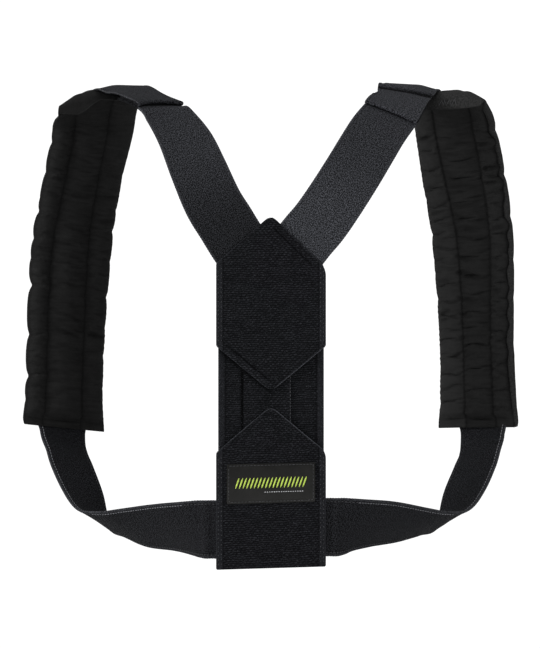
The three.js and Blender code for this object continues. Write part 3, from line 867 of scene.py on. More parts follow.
def ribbed_face(x, z, outline, selvage_at, seed):
    """Relief of a panel layer's face, how near its cut edge is, and how far the face sinks there."""
    gap = edge_distance(x, z, outline)
    border = ramp(np.abs(x), selvage_at - 0.4, selvage_at + 0.4)
    knots = 0.5 + 0.5 * noise(x / 0.9, z / 0.9, seed + 5)
    relief = ribs(x, z, seed) * (1 - border) + (0.35 + 0.5 * knots) * border
    relief = relief * (1 - 0.8 * hump(np.abs(x), selvage_at, 0.5))
    near = np.clip(1 - gap / CUT_EDGE_RADIUS, 0, 1)
    sink = PANEL_THICKNESS / 2 * (1 - np.sqrt(1 - near ** 2))
    return relief, gap, sink + RIB_HEIGHT * (1 - relief) * ramp(gap, 0, 1.0)


def around(grid):
    """Border of a grid, in order round it."""
    return np.concatenate([grid[0], grid[1:, -1], grid[-1, -2::-1], grid[-2:0:-1, 0]])


def walls(shape, front, back, weave, edge_wear_and_highlight=0.0, closed=False):
    """Adds the walls between the borders of a plate's two faces, and one flat face behind them if closed."""
    front, back, weave = around(front), around(back), around(weave)
    total = len(front)
    faces = [[i, (i + 1) % total, total + (i + 1) % total, total + i] for i in range(total)]
    if closed:
        faces.append(list(range(total, 2 * total)))
    shape.add(np.concatenate([front, back]), faces, np.concatenate([weave, weave]), WALL_RELIEF, edge_wear_and_highlight)


def upright_face(x, y, z):
    """Points of a face that stands upright, and their places on the cloth."""
    return np.stack(np.broadcast_arrays(x, y, z), -1), np.stack([x, z], -1)


def plate(name, outline, inner_y, selvage_at, seed, columns, cloths, finish, threads=(), both_faces=False):
    """Flat layer of ribbed webbing standing upright; its outer face looks towards -Y."""
    x, z = plate_grid(outline, columns, RIB_PITCH / RIB_STEPS)
    relief, gap, sink = ribbed_face(x, z, outline, selvage_at, seed)
    # Each layer's finish gives its lift, its painted shade and light, and its pale edges from wear and
    # painted highlight.
    lift, shade, edge_wear_and_highlight = finish(x, z, gap)
    rim = edge_wear_and_highlight * hump(gap, 0, EDGE_PALE_WIDTH)
    front, weave = upright_face(x, inner_y - PANEL_THICKNESS + sink - lift, z)
    faces = grid_faces(*x.shape)
    shape = Shape()
    shape.add(front, flipped(faces), weave, relief * shade, rim)
    if both_faces:
        back, _ = upright_face(x, inner_y - sink, z)
        shape.add(back, faces, weave + BACK_WEAVE_SHIFT, relief, rim)
        walls(shape, front, back, weave, EDGE_WEAR_AND_HIGHLIGHT)
    else:
        walls(shape, front, upright_face(x, inner_y, z)[0], weave, closed=True)
    for line, stitch, space in threads:
        shape.add(*sewn(line, stitch, space, PANEL_THREAD_RADIUS), look=1)
    shape.lean()
    shape.piece(f"{name}_cloth", cloths, "panel_webbing", name)


def flap_corners(top, top_left, top_right, low, bottom=None):
    """Outline of a flap from its corners' heights: pointed at the top, and at the bottom if that is given."""
    corners = [(0, top, APEX_RADIUS), (-FLAP_HALF, top_left, CORNER_RADIUS), (-FLAP_HALF, low, CORNER_RADIUS)]
    if bottom is not None:
        corners.append((0, bottom, APEX_RADIUS))
    corners.append((FLAP_HALF, low, CORNER_RADIUS))
    corners.append((FLAP_HALF, top_right, SOFT_RADIUS))
    return rounded(corners)


def upright(x, low, high, inner_y):
    """A line straight up a layer's outer face."""
    y = inner_y - PANEL_THICKNESS
    return np.array([(x, y, low), (x, y, high)])


def flap(name, outline, seed, cloths, finish, low, high):
    """A flap's plate, with short pale threads in two rows along each of its sides."""
    threads = []
    for inset, stitch, space in SELVAGE_SPECKS:
        for sign in (-1, 1):
            line = upright(sign * (FLAP_HALF - inset), low + SPECKS_INSET, high - SPECKS_INSET, FLAP_LAYER_Y)
            threads.append((line, stitch, space))
    plate(name, outline, FLAP_LAYER_Y, FLAP_HALF - SELVAGE_WIDTH, seed, FLAP_COLUMNS, cloths, finish, threads)


def flap_shadow(x, z):
    """Darkness just outside the upper flap's lower left edge, from 0 to 1."""
    corner = np.array([-FLAP_HALF, UPPER_FLAP_CORNER_Z])
    run = unit(np.array([0, UPPER_FLAP_TIP_Z]) - corner)
    gap = (x - corner[0]) * run[1] - (z - corner[1]) * run[0]
    return hump(np.maximum(gap, 0), 0, FLAP_SHADOW_REACH) * ramp(-x, -4, 4)


def back_panel(cloths):
    low, high = PANEL_BOTTOM_Z, PANEL_SHOULDER_Z - PANEL_SET_BACK
    outline = rounded([
        (0, PANEL_APEX_Z - PANEL_SET_BACK, APEX_RADIUS),
        (-PANEL_HALF, high, CORNER_RADIUS), (-PANEL_HALF, low, CORNER_RADIUS),
        (PANEL_HALF, low, CORNER_RADIUS), (PANEL_HALF, high, CORNER_RADIUS),
    ])

    def finish(x, z, gap):
        return 0.0, 1 - FLAP_SHADOW * flap_shadow(x, z), EDGE_WEAR_AND_HIGHLIGHT

    selvage = PANEL_HALF - SELVAGE_WIDTH
    plate("back_panel", outline, PANEL_INNER_Y, selvage, 21, BACK_COLUMNS, cloths, finish, both_faces=True)


def upper_flap(cloths):
    corner_z, shoulder_z = UPPER_FLAP_CORNER_Z, PANEL_SHOULDER_Z
    outline = flap_corners(PANEL_APEX_Z, shoulder_z, UPPER_FLAP_RIGHT_Z, corner_z, UPPER_FLAP_TIP_Z)

    def finish(x, z, gap):
        # The lower left edge is a raised welt made paler by a painted highlight, with a sunk line inside it
        # darkened by painted shade; the lower right edge gets a painted highlight; a sunk line darkened by
        # painted shade runs inside the top right.
        below = ramp(corner_z + 4 - z, 0, 8)
        lower_left = below * ramp(-x, -2, 6)
        lower_right = below * ramp(x, 2, 8)
        top_right = ramp(z, shoulder_z - 8, shoulder_z) * ramp(x, 0, 5)
        valley = hump(gap, FLAP_WELT_WIDTH, FLAP_LINE_WIDTH)
        welt_rise = ramp(gap, FLAP_WELT_WIDTH, FLAP_WELT_WIDTH - 2)
        lift = lower_left * (FLAP_WELT_RISE * welt_rise - 0.4 * valley) - 0.6 * top_right * valley
        shade = (1 - 0.9 * valley * np.maximum(lower_left, top_right)) * (1 + 0.25 * lower_left * welt_rise)
        return lift, shade, EDGE_WEAR_AND_HIGHLIGHT + PAINTED_EDGE_HIGHLIGHT * lower_right

    flap("upper_flap", outline, 31, cloths, finish, corner_z, shoulder_z)


def lower_flap(cloths):
    corner_z = LOWER_FLAP_CORNER_Z
    outline = flap_corners(LOWER_FLAP_TIP_Z, corner_z, corner_z, PANEL_BOTTOM_Z)

    def finish(x, z, gap):
        # Painted highlight on the top edges, stronger on the right.
        above = ramp(z, corner_z - 2, corner_z + 8)
        return 0.0, 1.0, EDGE_WEAR_AND_HIGHLIGHT + PAINTED_EDGE_HIGHLIGHT * above * (0.35 + 0.65 * ramp(x, -4, 4))

    flap("lower_flap", outline, 41, cloths, finish, PANEL_BOTTOM_Z, corner_z)


def centre_strip(cloths):
    outline = box_outline(STRIP_LEFT_X, STRIP_RIGHT_X, STRIP_BOTTOM_Z, STRIP_TOP_Z)

    def finish(x, z, gap):
        # The left edge sinks into a groove painted dark as shade, the painted shadow of the upper flap falls
        # on the strip, and only the edges on its right half are pale, from wear and a painted highlight.
        groove = ramp(x, STRIP_GROOVE_X + 0.5, STRIP_GROOVE_X - 0.5)
        shade = (1 - groove) * (1 - FLAP_SHADOW * flap_shadow(x, z))
        return -STRIP_GROOVE_DEPTH * groove, shade, EDGE_WEAR_AND_HIGHLIGHT * (x > 0)

    no_selvage = 2 * FLAP_HALF
    line = upright(STRIP_RIGHT_X - STRIP_SEAM_INSET, STRIP_BOTTOM_Z, STRIP_TOP_Z, STRAP_LAYER_Y)
    threads = [(line, *STRIP_STITCH)]
    plate("centre_strip", outline, STRAP_LAYER_Y, no_selvage, 51, BACK_COLUMNS, cloths, finish, threads)


# Straps and hems

def rim_profile(side, thickness):
    """Half thickness of a band across its width: a groove, then a rolled rim at each edge."""
    inset = WEBBING_HALF - np.abs(side)
    half = thickness / 2
    groove = RIM_GROOVE * hump(inset, RIM_WIDTH, 0.5)
    roll = RIM_RISE * ramp(inset, RIM_WIDTH + 0.3, RIM_WIDTH - 0.8)
    near = np.clip(1 - inset / half, 0, 1)
    return (half - groove + roll) * np.sqrt(1 - near ** 2)


def band_sides():
    """Places across a band, close together at its rims."""
    rim = WEBBING_HALF - np.array(RIM_INSETS)
    flat = np.linspace(FLAT_INSET - WEBBING_HALF, WEBBING_HALF - FLAT_INSET, FLAT_COLUMNS)
    return np.concatenate([-rim, flat, rim[::-1]])


def band(shape, path, distance, tones, seed, thickness=WEBBING_THICKNESS, depth=0.0, pale_rim=1.0, **moves):
    """Adds a band of webbing along a path, with a tone for each row of it.

    Its points can be moved: curl lifts them off its face, slide takes them along it, draw to its arm edge.
    Returns its middle line, its width and face directions, and how far its two edges are curled.
    """
    centre, across, inward, _ = path.sections(distance)
    middle = centre + inward * np.reshape(depth, (-1, 1))
    face = unit(np.cross(unit(np.gradient(middle, axis=0)), across))
    run = walk(middle)[:, None]
    sides = band_sides()
    rows, size = len(run), (len(run), len(sides))
    curl, slide, draw = (np.broadcast_to(moves.get(key, 0.0), size) for key in ("curl", "slide", "draw"))
    flat = middle[:, None] + across[:, None] * (sides + draw)[..., None]
    flat = flat + np.cross(across, inward)[:, None] * slide[..., None]
    skin = rim_profile(sides, thickness)
    ripple = BAND_RIPPLE * noise(sides / 9, run / 12, seed) + curl
    outer = flat - face[:, None] * (skin - ripple)[..., None]
    inner = flat + face[:, None] * (skin + ripple)[..., None]
    ring = np.concatenate([outer, inner[:, -2:0:-1]], 1)
    ring_sides = np.concatenate([sides, sides[-2:0:-1]])
    columns = len(ring_sides)
    weave = np.stack(np.broadcast_arrays(ring_sides, run), -1)
    rim = np.broadcast_to(ramp(np.abs(ring_sides), *RIM_PALE_OVER) * pale_rim, (rows, columns))
    shape.add(ring, tube_faces(rows, columns), weave, np.repeat(tones, columns), rim)
    return middle, across, face, curl[:, [0, -1]]


def edge_threads(shape, lines, inset, rise, stitch, gap, radius, edges=(0, 1), look=1):
    """Selvage threads along the edges of a band: 0 is the neck edge, 1 the arm edge."""
    middle, across, face, curled = lines
    for edge in edges:
        sign = 2 * edge - 1
        line = middle + across * sign * (WEBBING_HALF - inset) + face * (rise + curled[:, edge:edge + 1])
        shape.add(*sewn(line, stitch, gap, radius), look=look)


def webbing_piece(shape, kind, name, side, cloths):
    """Makes a band's piece."""
    piece = shape.piece(f"{kind}_{name}_cloth", cloths, "strap_webbing", f"{kind}_{name}", side["mirrored"])


def shoulder_strap(name, side, cloths):
    path = Path(side["shoulder"])
    fold = path.row_distance(HEM_ROW)
    start, end = path.row_distance(STRAP_START_ROW), fold + STRAP_PAST_HEM
    distance = evenly(start, end, BAND_STEP)
    bare = distance < fold
    # Paleness along the strap, partly painted sheen; past the fold, under the hem, it is painted dark as
    # shade, with a painted shadow at the fold.
    first, last = side["strap_tone_and_sheen"]
    tones = first + (last - first) * ramp((distance - start) / (end - start), *TONE_OVER)
    tones = tones * bare * (1 - FOLD_SHADOW * hump(distance, fold, FOLD_SHADOW_REACH))
    shape = Shape()
    lines = band(shape, path, distance, tones, side["seed"], pale_rim=bare[:, None])
    edge_threads(shape, [line[bare] for line in lines], *EDGE_STITCH)
    webbing_piece(shape, "shoulder_strap", name, side, cloths)


def shoulder_hem(name, side, cloths):
    path = Path(side["shoulder"])
    start = path.row_distance(HEM_ROW)
    under = -(WEBBING_THICKNESS / 2 + LAYER_GAP + HEM_THICKNESS / 2)
    over = under - HEM_THICKNESS - LAYER_GAP
    radius = (under - over) / 2

    # The rows lie first under the hem, then round its fold, then on top
    turned = evenly(start, start + HEM_TURN_UNDER, HEM_STEP)[::-1]
    angle = np.pi * np.arange(1, HEM_FOLD_STEPS) / HEM_FOLD_STEPS
    laid = evenly(start, min(start + HEM_LENGTH, path.length), HEM_STEP)
    hidden, far = len(turned) + len(angle), laid - start
    swell = np.clip(1 - ((far - HEM_ROLL_AT) / HEM_ROLL_HALF) ** 2, 0, 1)
    tuck = HEM_TUCK * hump(far, HEM_ROLL_AT - HEM_TUCK_BEFORE, HEM_TUCK_REACH)
    roll = side["roll"] * (np.sqrt(swell) - tuck)
    distance = np.concatenate([turned, start - radius * np.sin(angle), laid])
    depth = np.concatenate([np.full(len(turned), under), under - radius * (1 - np.cos(angle)), over - roll])
    # The layer turned under is painted dark as shade, and the tuck before the roll is darkened by painted
    # shade.
    tones = np.full(len(distance), side["hem_tone"])
    tones[:len(turned)] = 0
    tones[hidden:] -= side["roll"] * tuck * HEM_TUCK_SHADE

    # How the top curls, bows with the fold and is drawn in, by row and then by place across it
    sides = band_sides()
    rows = lambda below, on_top: np.concatenate([np.full(hidden, below), on_top])[:, None]
    curl = HEM_CURL * rows(0.0, ramp(far - STRAP_PAST_HEM, *HEM_CURL_OVER)) * ramp(sides, 4, WEBBING_HALF)
    slide = side["fold_bow"] * rows(1.0, ramp(far, HEM_TURN_UNDER, 0)) * (1 - (sides / WEBBING_HALF) ** 2)
    draw = side["waist"] * rows(0.0, hump(far, HEM_WAIST_AT, HEM_WAIST_REACH)) * ramp(-sides, 0, WEBBING_HALF)
    shape = Shape()
    moves = {"curl": curl, "slide": slide, "draw": draw}
    lines = band(shape, path, distance, tones, side["seed"] + 40, HEM_THICKNESS, depth, 0.0, **moves)
    edge_threads(shape, [line[hidden:] for line in lines], *HEM_STITCH, edges=(1,))
    webbing_piece(shape, "shoulder_hem", name, side, cloths)


def lower_strap(name, side, cloths):
    path = Path(side["loop"])
    distance = evenly(LOWER_STRAP_START, path.length, BAND_STEP)
    past_pad = distance - path.row_distance(PAD_LAST_ROW)
    to_panel = path.row_distance(PANEL_ROW) - distance
    drift = side["drift"] * hump(past_pad, 0, LOWER_DRIFT_REACH)[:, None]
    twist = LOWER_TWIST * window(past_pad, *LOWER_TWIST_OVER)
    wave = LOWER_WAVE * np.sin(2 * np.pi * to_panel / LOWER_WAVE_PITCH) * window(to_panel, *LOWER_WAVE_OVER)
    curl = wave[:, None] + twist[:, None] * band_sides()
    tones = np.full(len(distance), LOWER_TONE)
    shape = Shape()
    middle, across, *rest = band(shape, path, distance, tones, side["seed"] + 80, curl=curl, draw=drift)
    lines = (middle + across * drift, across, *rest)
    edge_threads(shape, lines, *EDGE_STITCH)
    # Over these rows the arm edge's pale thread gets a brighter copy, a painted highlight.
    turn, last = (path.row_distance(row) for row in BRIGHT_LINE_ROWS)
    for rise, wear_and_highlight in ((LINE_RISE, distance < turn), (-LINE_RISE, (distance >= turn) & (distance < last))):
        edge_threads(shape, lines, RIM_WIDTH, rise, *LINE_STITCH)
        bright = [line[wear_and_highlight] for line in lines]
        edge_threads(shape, bright, RIM_WIDTH, rise, *BRIGHT_STITCH, edges=(1,), look=2)
    webbing_piece(shape, "lower_strap", name, side, cloths)


# Shoulder pads

def pad_columns():
    """Places across the pad's inner face as shares of its width, and which of them are seams."""
    shares, seams = [0.0], [0]
    for left, (share, _, columns) in zip(PAD_SEAMS, PAD_CHANNELS):
        shares.extend((left + share * crowded(columns, 0.5)[1:]).tolist())
        seams.append(len(shares) - 1)
    return np.array(shares), seams


def pad_rise(shares, distance, length):
    """How far the padded face stands up from its seams before the cloth has settled."""
    rise = PAD_VALLEY * ramp(np.minimum(shares, 1 - shares), 0, PAD_EDGE_SHARE)
    for left, (share, height, _) in zip(PAD_SEAMS, PAD_CHANNELS):
        spot = np.clip((shares - left) / share, 0, 1)
        rise = rise + height * np.sin(np.pi * spot).clip(0, 1) ** PAD_CHANNEL_POWER
    end = length - PAD_END_BAND
    ends = window(distance, 0, PAD_END_TAPER_TOP, end - PAD_END_TAPER_BOTTOM, end)
    thin = PAD_TOP_SHARE + (1 - PAD_TOP_SHARE) * ramp(distance, *PAD_TOP_OVER)
    return ends * thin * rise


def edge_offset(path, name, edge, distance):
    """How far the pad's edge stands out, pulled in at each notch."""
    end = path.row_distance(PAD_LAST_ROW)
    out = PAD_SWELL + PAD_FLARE * ramp(distance, end - PAD_FLARE_REACH, end)
    for height, depth in NOTCHES[(name, edge)]:
        out = out - depth * np.exp(-np.abs(distance - path.height_distance(height)) / NOTCH_REACH)
    return out


def pad_side(path, name, shares, distance, lip):
    """Place across the pad in millimetres, from its neck side to its arm side."""
    neck, arm = (PAD_WIDTH / 2 + edge_offset(path, name, edge, distance) for edge in ("neck", "arm"))
    return (2 * shares - 1) * np.where(shares < 0.5, neck, arm) - lip * ramp(shares, PAD_SEAMS[2], 1.0)


def seam_shift(shares, along, shifts):
    """How far the two inner seams lie towards the arm, fading to nothing at the seams on either side."""
    shift = 0.0
    for spot, (at_top, at_bottom) in enumerate(shifts):
        before, seam, after = PAD_SEAMS[spot:spot + 3]
        tent = np.minimum((shares - before) / (seam - before), (after - shares) / (after - seam))
        reach = at_top + (at_bottom - at_top) * ramp(along, *SEAM_SHIFT_OVER)
        shift = shift + reach * np.clip(tent, 0, 1)
    return shift


def flat_pad(name, side):
    """The pad's inner face laid flat before it settles: across, along, rise."""
    path = Path(side["loop"])
    length = path.row_distance(PAD_LAST_ROW)
    shares, seams = pad_columns()
    share, far = np.meshgrid(shares, evenly(0, length, PAD_ROW_STEP))
    lip = side["lip"] * ramp(far, *LIP_OVER)
    lip = lip * (1 - LIP_NARROWS * ramp(far, length - LIP_NARROWS_REACH, length))
    for height, depth in side["pinches"]:
        lip = lip * (1 - depth * hump(far, path.height_distance(height), PINCH_REACH))
    across = pad_side(path, name, share, far, lip) + seam_shift(share, far / length, side["seam_shifts"])
    rise = pad_rise(share, far, length)
    rise = rise + PAD_PUCKER * noise(across / 4, far / 3, side["seed"]) * ramp(rise, 0, 4)
    held = np.zeros(share.shape, bool)
    held[:, seams] = True
    held[0] = held[-1] = True
    start = np.stack([across, far, rise], -1)
    return {"path": path, "length": length, "share": share, "far": far, "lip": lip,
            "held": held, "seams": seams, "start": start}


def settling_cloth(pad, gather, seed):
    """The face cut longer than its seams, with keys that gather it and a cloth modifier that blows it up."""
    start = pad["start"]
    spare = gather * (1 + 0.6 * noise(0.5, start[1:, :1, 1] / 20, seed))
    spare = spare * ramp(start[1:, :1, 1], *SIM_GATHER_FROM)
    cut = start.copy()
    cut[1:, :, 1] = start[0, :, 1] + np.cumsum(np.diff(start[..., 1], axis=0) * (1 + spare), axis=0)
    mesh = bpy.data.meshes.new("settling")
    mesh.from_pydata((cut.reshape(-1, 3) * SIM_SCALE).tolist(), [], grid_faces(*start.shape[:2]))
    obj = placed("settling", mesh)
    obj.shape_key_add(name="cut")
    gathered = obj.shape_key_add(name="gathered")
    gathered.data.foreach_set("co", (start * SIM_SCALE).ravel())
    for share, step in ((0.0, 1), (1.0, SIM_GATHER_FRAMES)):
        gathered.value = share
        gathered.keyframe_insert("value", frame=step)
    group = obj.vertex_groups.new(name="held")
    group.add(np.flatnonzero(pad["held"].ravel()).tolist(), 1.0, "REPLACE")
    cloth = obj.modifiers.new("settle", "CLOTH")
    for key, value in SIM_SETTINGS.items():
        setattr(cloth.settings, key, value)
    cloth.settings.effector_weights.gravity = 0
    cloth.settings.vertex_group_mass = "held"
    cloth.collision_settings.use_collision = False
    cloth.point_cache.frame_start = 1
    cloth.point_cache.frame_end = SIM_FRAMES
    return obj


def settle(pads):
    """Cloth simulation: each face is gathered along its seams to their length and blown up between them."""
    scene = bpy.context.scene
    objects = [settling_cloth(pads[name], side["gather"], side["seed"]) for name, side in SIDES.items()]
    for step in range(1, SIM_FRAMES + 1):
        scene.frame_set(step)
    graph = bpy.context.evaluated_depsgraph_get()
    for pad, obj in zip(pads.values(), objects):
        mesh = obj.evaluated_get(graph).data
        settled = np.zeros(pad["start"].size)
        mesh.vertices.foreach_get("co", settled)
        move = settled.reshape(pad["start"].shape) / SIM_SCALE - pad["start"]
        size = np.linalg.norm(move, axis=-1, keepdims=True)
        pad["settled"] = pad["start"] + move * np.minimum(1, SIM_MOST_MOVE / np.maximum(size, 1e-9))
    for obj in objects:
        mesh = obj.data
        bpy.data.objects.remove(obj)
        bpy.data.meshes.remove(mesh)
    for action in list(bpy.data.actions):
        bpy.data.actions.remove(action)
    scene.frame_set(1)


def crease(pad, name, across, far, rise, scale):
    """Presses the pad's creases into its settled face, and says how deep in a crease each point lies."""
    place = lambda share, z: np.array([(2 * share - 1) * PAD_WIDTH / 2, pad["path"].height_distance(z)])
    folded = np.zeros_like(rise)
    for from_share, from_z, to_share, to_z, depth in CREASES[name]:
        start = place(from_share, from_z)
        run = place(to_share, to_z) - start
        spot = np.stack([across, far], -1) - start
        share = np.clip(spot @ run / (run @ run), 0, 1)
        gap = np.linalg.norm(spot - share[..., None] * run, axis=-1)
        deep = depth * window(share, *CREASE_FADE)
        pressed = hump(gap, 0, CREASE_WIDTH)
        lip = hump(gap, 2.4 * CREASE_WIDTH, CREASE_WIDTH)
        rise = rise - scale * deep * (pressed - 0.4 * lip)
        folded = np.maximum(folded, deep * pressed)
    return rise, folded


def end_faces(columns, total):
    """Faces that close a pad's end, from its inner cloth's points to the back cloth's points behind them."""
    back = [0] + [total - spot for spot in range(1, columns - 1)] + [columns - 1]
    rows = [[spot, spot + 1, back[spot + 1], back[spot]] for spot in range(columns - 1)]
    return [list(dict.fromkeys(face)) for face in rows]


def pad_back(name, side, pad):
    """Back cloth, from the neck seam to the arm seam and with softer channels: across, along, rise, share."""
    share, far = np.meshgrid(pad["share"][0, 1:-1], pad["far"][:, 0])
    lip, length = pad["lip"][:, :1], pad["length"]
    turn = np.clip((share - PAD_TURN_FROM) / (1 - PAD_TURN_FROM), 0, 1)
    share = np.minimum(share / PAD_TURN_FROM, 1)
    across = pad_side(pad["path"], name, share, far, 0.0) - lip * (1 - np.cos(np.pi * turn)) / 2
    ends = window(far, 0, PAD_BACK_TAPER, length - PAD_BACK_TAPER, length)
    fade = ramp(share, 0, 0.06) * ramp(1 - turn, 0, 1)
    quilt = 1 - 0.8 * sum(hump(share, seam, 0.03) for seam in PAD_SEAMS[1:3])
    pucker = PAD_BACK_PUCKER * noise(across / 6, far / 3.5, side["seed"] + 11)
    puff = PAD_TOP_PUFF * hump(far, PAD_TOP_PUFF_AT, PAD_TOP_PUFF_REACH) * window(share, *PAD_TOP_PUFF_OVER)
    rise = -ends * fade * (PAD_BACK_RISE + puff + PAD_BACK_BULGE * quilt * (0.75 + pucker))
    return across, far, rise + 0.5 * lip * np.sin(np.pi * turn), share


def pad_hang(side, share, far, droop, length):
    """How far the pad's points hang below its path: at its arm side, and at its two ends."""
    hang = droop * np.maximum(0, (share - DROOP_FROM) / (1 - DROOP_FROM)) ** DROOP_POWER
    sag, *sag_over = side["end_sag"]
    hang = hang + sag * np.exp(-far / END_SAG_REACH) * ramp(share, *sag_over)
    neck_drop, arm_drop = side["end_tilt"]
    tilt = neck_drop + (arm_drop - neck_drop) * share
    return hang + tilt * ramp(far, length - END_TILT_REACH, length)


def pad_tone(side, pad, across, folded):
    """How pale the inner face is: channels paler by painted light, with painted shade in its seams and
    creases.
    """
    clear = np.min([np.abs(across - across[:, seam:seam + 1]) for seam in pad["seams"]], axis=0)
    # Painted light pales each channel, and painted shade darkens the seams and creases.
    pale = np.take(side["channel_painted_light"], np.searchsorted(PAD_SEAMS[1:3], pad["share"]))
    tone = (1 + pale) * (1 - hump(clear, 0, PAD_SEAM_WIDTH))
    return tone * (1 - side["crease_shade"] * np.clip(folded, 0, 1))


def shoulder_pad(name, side, pad, cloths):
    across, far, rise = np.moveaxis(pad["settled"], -1, 0)
    share = pad["share"]
    rise, folded = crease(pad, name, across, far, rise, side["crease_scale"])
    rise = np.maximum(rise, PAD_LEAST_RISE * ramp(np.minimum(share, 1 - share), 0, 0.02))

    # Rings run along the inner face from neck to arm, then home along the back
    inner, back = (across, far, rise, share), pad_back(name, side, pad)
    ring = [np.concatenate([face, behind[:, ::-1]], 1) for face, behind in zip(inner, back)]
    ring_across, ring_far, ring_rise, ring_share = ring
    centre, wide, inward, droop = pad["path"].sections(ring_far)
    points = centre + wide * ring_across[..., None] + inward * (PAD_SEAM_DEPTH + ring_rise)[..., None]
    points[..., 2] -= pad_hang(side, ring_share, ring_far, droop, pad["length"])
    rows, total = ring_share.shape
    columns = share.shape[1]
    weave = np.stack([ring_across, ring_far], -1)
    on_back = np.broadcast_to(np.arange(total) >= columns, (rows, total))
    # The back's relief is its side's tone, darkened by painted shade on the left pad.
    relief = np.full((rows, total), side["back_painted_shade"])
    relief[:, :columns] = pad_tone(side, pad, across, folded)
    faces = flipped(grid_faces(rows, total, closed=True))
    for first, step in ((0, 1), ((rows - 1) * total, -1)):
        faces.extend([first + spot for spot in face][::step] for face in end_faces(columns, total))
    shape = Shape()
    shape.add(points, faces, weave, relief, side["speckle"] * on_back)

    # Welt at the top end, and where the side has them piping along the arm seam and a bar of stitches
    welt(shape, points[0, :columns], PAD_WELT_RADIUS, WELT_TONE)
    if side["piping"]:
        welt(shape, points[slice(*PIPING_ROWS), columns - 1], side["piping"], PIPING_TONE)
    if side["bartack"]:
        tack = np.linspace(*side["bartack"], BARTACK_STITCHES + 1)
        column = columns + np.searchsorted(-ring_share[0, columns:], -tack)
        row = np.resize(BARTACK_ROWS, len(tack))
        line = points[row, column] - inward[row, column] * BARTACK_RISE
        shape.add(*dashes(line[:-1], line[1:], BARTACK_RADIUS), look=1)
    kind = f"shoulder_pad_{name}"
    piece = shape.piece(f"{kind}_cloth", cloths, "pad_cloth", kind, side["mirrored"])
    finer = piece.modifiers.new("finer", "SUBSURF")
    finer.levels = finer.render_levels = 1


# Label

def label_bars(y):
    """Ends of a row of slanted stitches, a plain pattern with no letters in it."""
    x = (np.arange(LABEL_BARS) - (LABEL_BARS - 1) / 2) * LABEL_BAR_PITCH
    low, high = ((x - LABEL_BAR_SLANT, LABEL_BAR_LOW_Z), (x + LABEL_BAR_SLANT, LABEL_BAR_HIGH_Z))
    return [np.stack(np.broadcast_arrays(across, y, z), -1) for across, z in (low, high)]


def label(cloths):
    outline = box_outline(-LABEL_HALF, LABEL_HALF, LABEL_BOTTOM_Z, LABEL_TOP_Z)
    x, z = plate_grid(outline, LABEL_COLUMNS, LABEL_ROW_STEP)
    gap = edge_distance(x, z, outline)
    near = np.clip(1 - gap / LABEL_EDGE_RADIUS, 0, 1)
    sink = LABEL_THICKNESS / 2 * (1 - np.sqrt(1 - near ** 2))
    buckle = LABEL_BUCKLE * noise(x / 14, z / 11, 61) * ramp(gap, *LABEL_BUCKLE_OVER)
    tuck = LABEL_TUCK * hump(gap, LABEL_SEAM_INSET, LABEL_TUCK_WIDTH)
    outer_y = LABEL_LAYER_Y - LABEL_THICKNESS
    front, weave = upright_face(x, outer_y + sink - buckle + tuck, z)
    shape = Shape()
    shape.add(front, flipped(grid_faces(*x.shape)), weave)
    walls(shape, front, upright_face(x, LABEL_LAYER_Y, z)[0], weave, closed=True)

    # A seam round the label, and on it the slanted bars and the short line
    stitch_y = outer_y - LABEL_STITCH_RISE
    half = LABEL_HALF - LABEL_SEAM_INSET
    top, low = LABEL_TOP_Z - LABEL_SEAM_INSET, LABEL_BOTTOM_Z + LABEL_SEAM_INSET
    corners = ((-half, top), (half, top), (half, low), (-half, low), (-half, top))
    seam = np.array([(across, stitch_y, up) for across, up in corners])
    line = np.array([(across, stitch_y, LABEL_LINE_Z) for across in LABEL_LINE_OVER])
    shape.add(*sewn(seam, *LABEL_SEAM_STITCH), look=1)
    shape.add(*dashes(*label_bars(stitch_y), LABEL_BAR_RADIUS), look=3)
    shape.add(*sewn(line, *LABEL_LINE_STITCH), look=2)
    shape.lean()
    shape.piece("label_cloth", cloths, "label_cloth", "label")


# Stage, light and camera

def seen_white(tree, soft, output):
    """Has the camera see plain white where other rays meet the soft shader."""
    white = tree.nodes.new("ShaderNodeEmission")
    white.inputs["Strength"].default_value = WHITE_STRENGTH
    ray = tree.nodes.new("ShaderNodeLightPath")
    choose = tree.nodes.new("ShaderNodeMixShader")
    tree.links.new(ray.outputs["Is Camera Ray"], choose.inputs[0])
    tree.links.new(soft, choose.inputs[1])
    tree.links.new(white.outputs[0], choose.inputs[2])
    tree.links.new(choose.outputs[0], output)


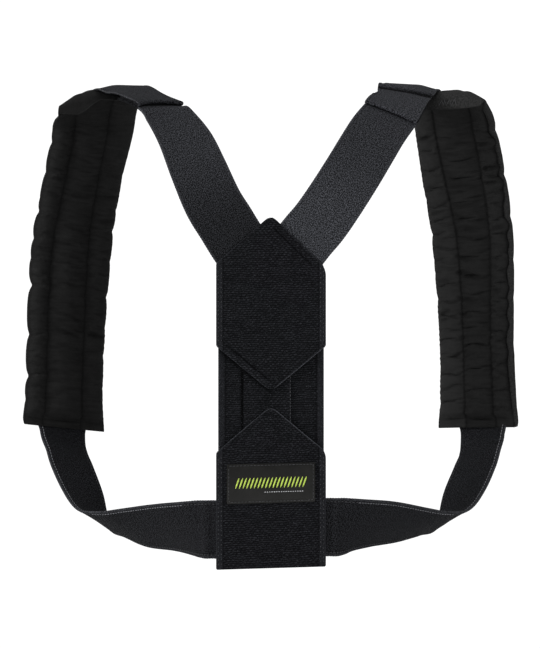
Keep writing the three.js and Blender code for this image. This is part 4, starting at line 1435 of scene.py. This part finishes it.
def stage():
    size, floor_z = FLOOR_HALF, FLOOR_Z
    corners = [(-size, -size, floor_z), (size, -size, floor_z), (size, size, floor_z), (-size, size, floor_z)]
    mesh = bpy.data.meshes.new("floor")
    mesh.from_pydata(corners, [], [(0, 1, 2, 3)])
    floor = placed("floor", mesh)
    graph = Graph("floor_paper", roughness=0.9, specular=0.1)
    grain = graph.noise(graph.add("ShaderNodeTexCoord", {}, "Object"), 300.0, 2)
    mesh.materials.append(graph.finish(graph.mix(grain, grey(0.9), grey(0.93)), grain, 0.05))
    seen_white(graph.tree, graph.shader.outputs[0], graph.tree.nodes["Material Output"].inputs["Surface"])


def lamp(name, place, aim, size, power):
    data = bpy.data.lights.new(name, "AREA")
    data.shape = "DISK"
    data.size = size
    data.energy = power
    obj = placed(name, data)
    obj.location = place
    obj.rotation_euler = (Vector(aim) - Vector(place)).to_track_quat("-Z", "Y").to_euler()


def light():
    world = bpy.data.worlds.new("studio")
    bpy.context.scene.world = world
    world.use_nodes = True
    tree = world.node_tree
    soft = tree.nodes["Background"]
    soft.inputs["Color"].default_value = (1, 1, 1, 1)
    soft.inputs["Strength"].default_value = WORLD_STRENGTH
    seen_white(tree, soft.outputs[0], tree.nodes["World Output"].inputs["Surface"])
    for name, place, size, power in LAMPS:
        lamp(name, place, LAMP_AIM, size, power)
    bpy.context.scene.view_settings.view_transform = "Standard"


def camera():
    data = bpy.data.cameras.new("camera")
    data.lens = CAMERA_LENS
    data.sensor_width = CAMERA_SENSOR
    data.clip_end = CAMERA_REACH
    obj = placed("camera", data)
    obj.location = CAMERA_PLACE
    obj.rotation_euler = (np.pi / 2, 0, 0)
    bpy.context.scene.camera = obj


camera()
stage()
light()

panel = panel_webbing()
webbing = strap_webbing()
cover = pad_cloth()
pale_thread = thread("pale_thread", grey(0.035, 0.06), grey(0.08, 0.06))
# A brighter copy of the pale thread, for a painted highlight.
bright_thread = thread("bright_thread", grey(0.09, 0.08), grey(0.2, 0.08))
white_thread = thread("white_thread", grey(0.3, 0.03), grey(0.55, 0.03))
lime_thread = thread("lime_thread", LIME_DARK, LIME_LIGHT)

for make in (back_panel, upper_flap, lower_flap, centre_strip):
    make([panel, pale_thread])
label([label_cloth(), pale_thread, white_thread, lime_thread])

pads = {name: flat_pad(name, side) for name, side in SIDES.items()}
settle(pads)
for name, side in SIDES.items():
    shoulder_pad(name, side, pads[name], [cover, pale_thread])
    shoulder_strap(name, side, [webbing, pale_thread])
    shoulder_hem(name, side, [webbing, pale_thread])
    lower_strap(name, side, [webbing, pale_thread, bright_thread])

bpy.context.view_layer.update()
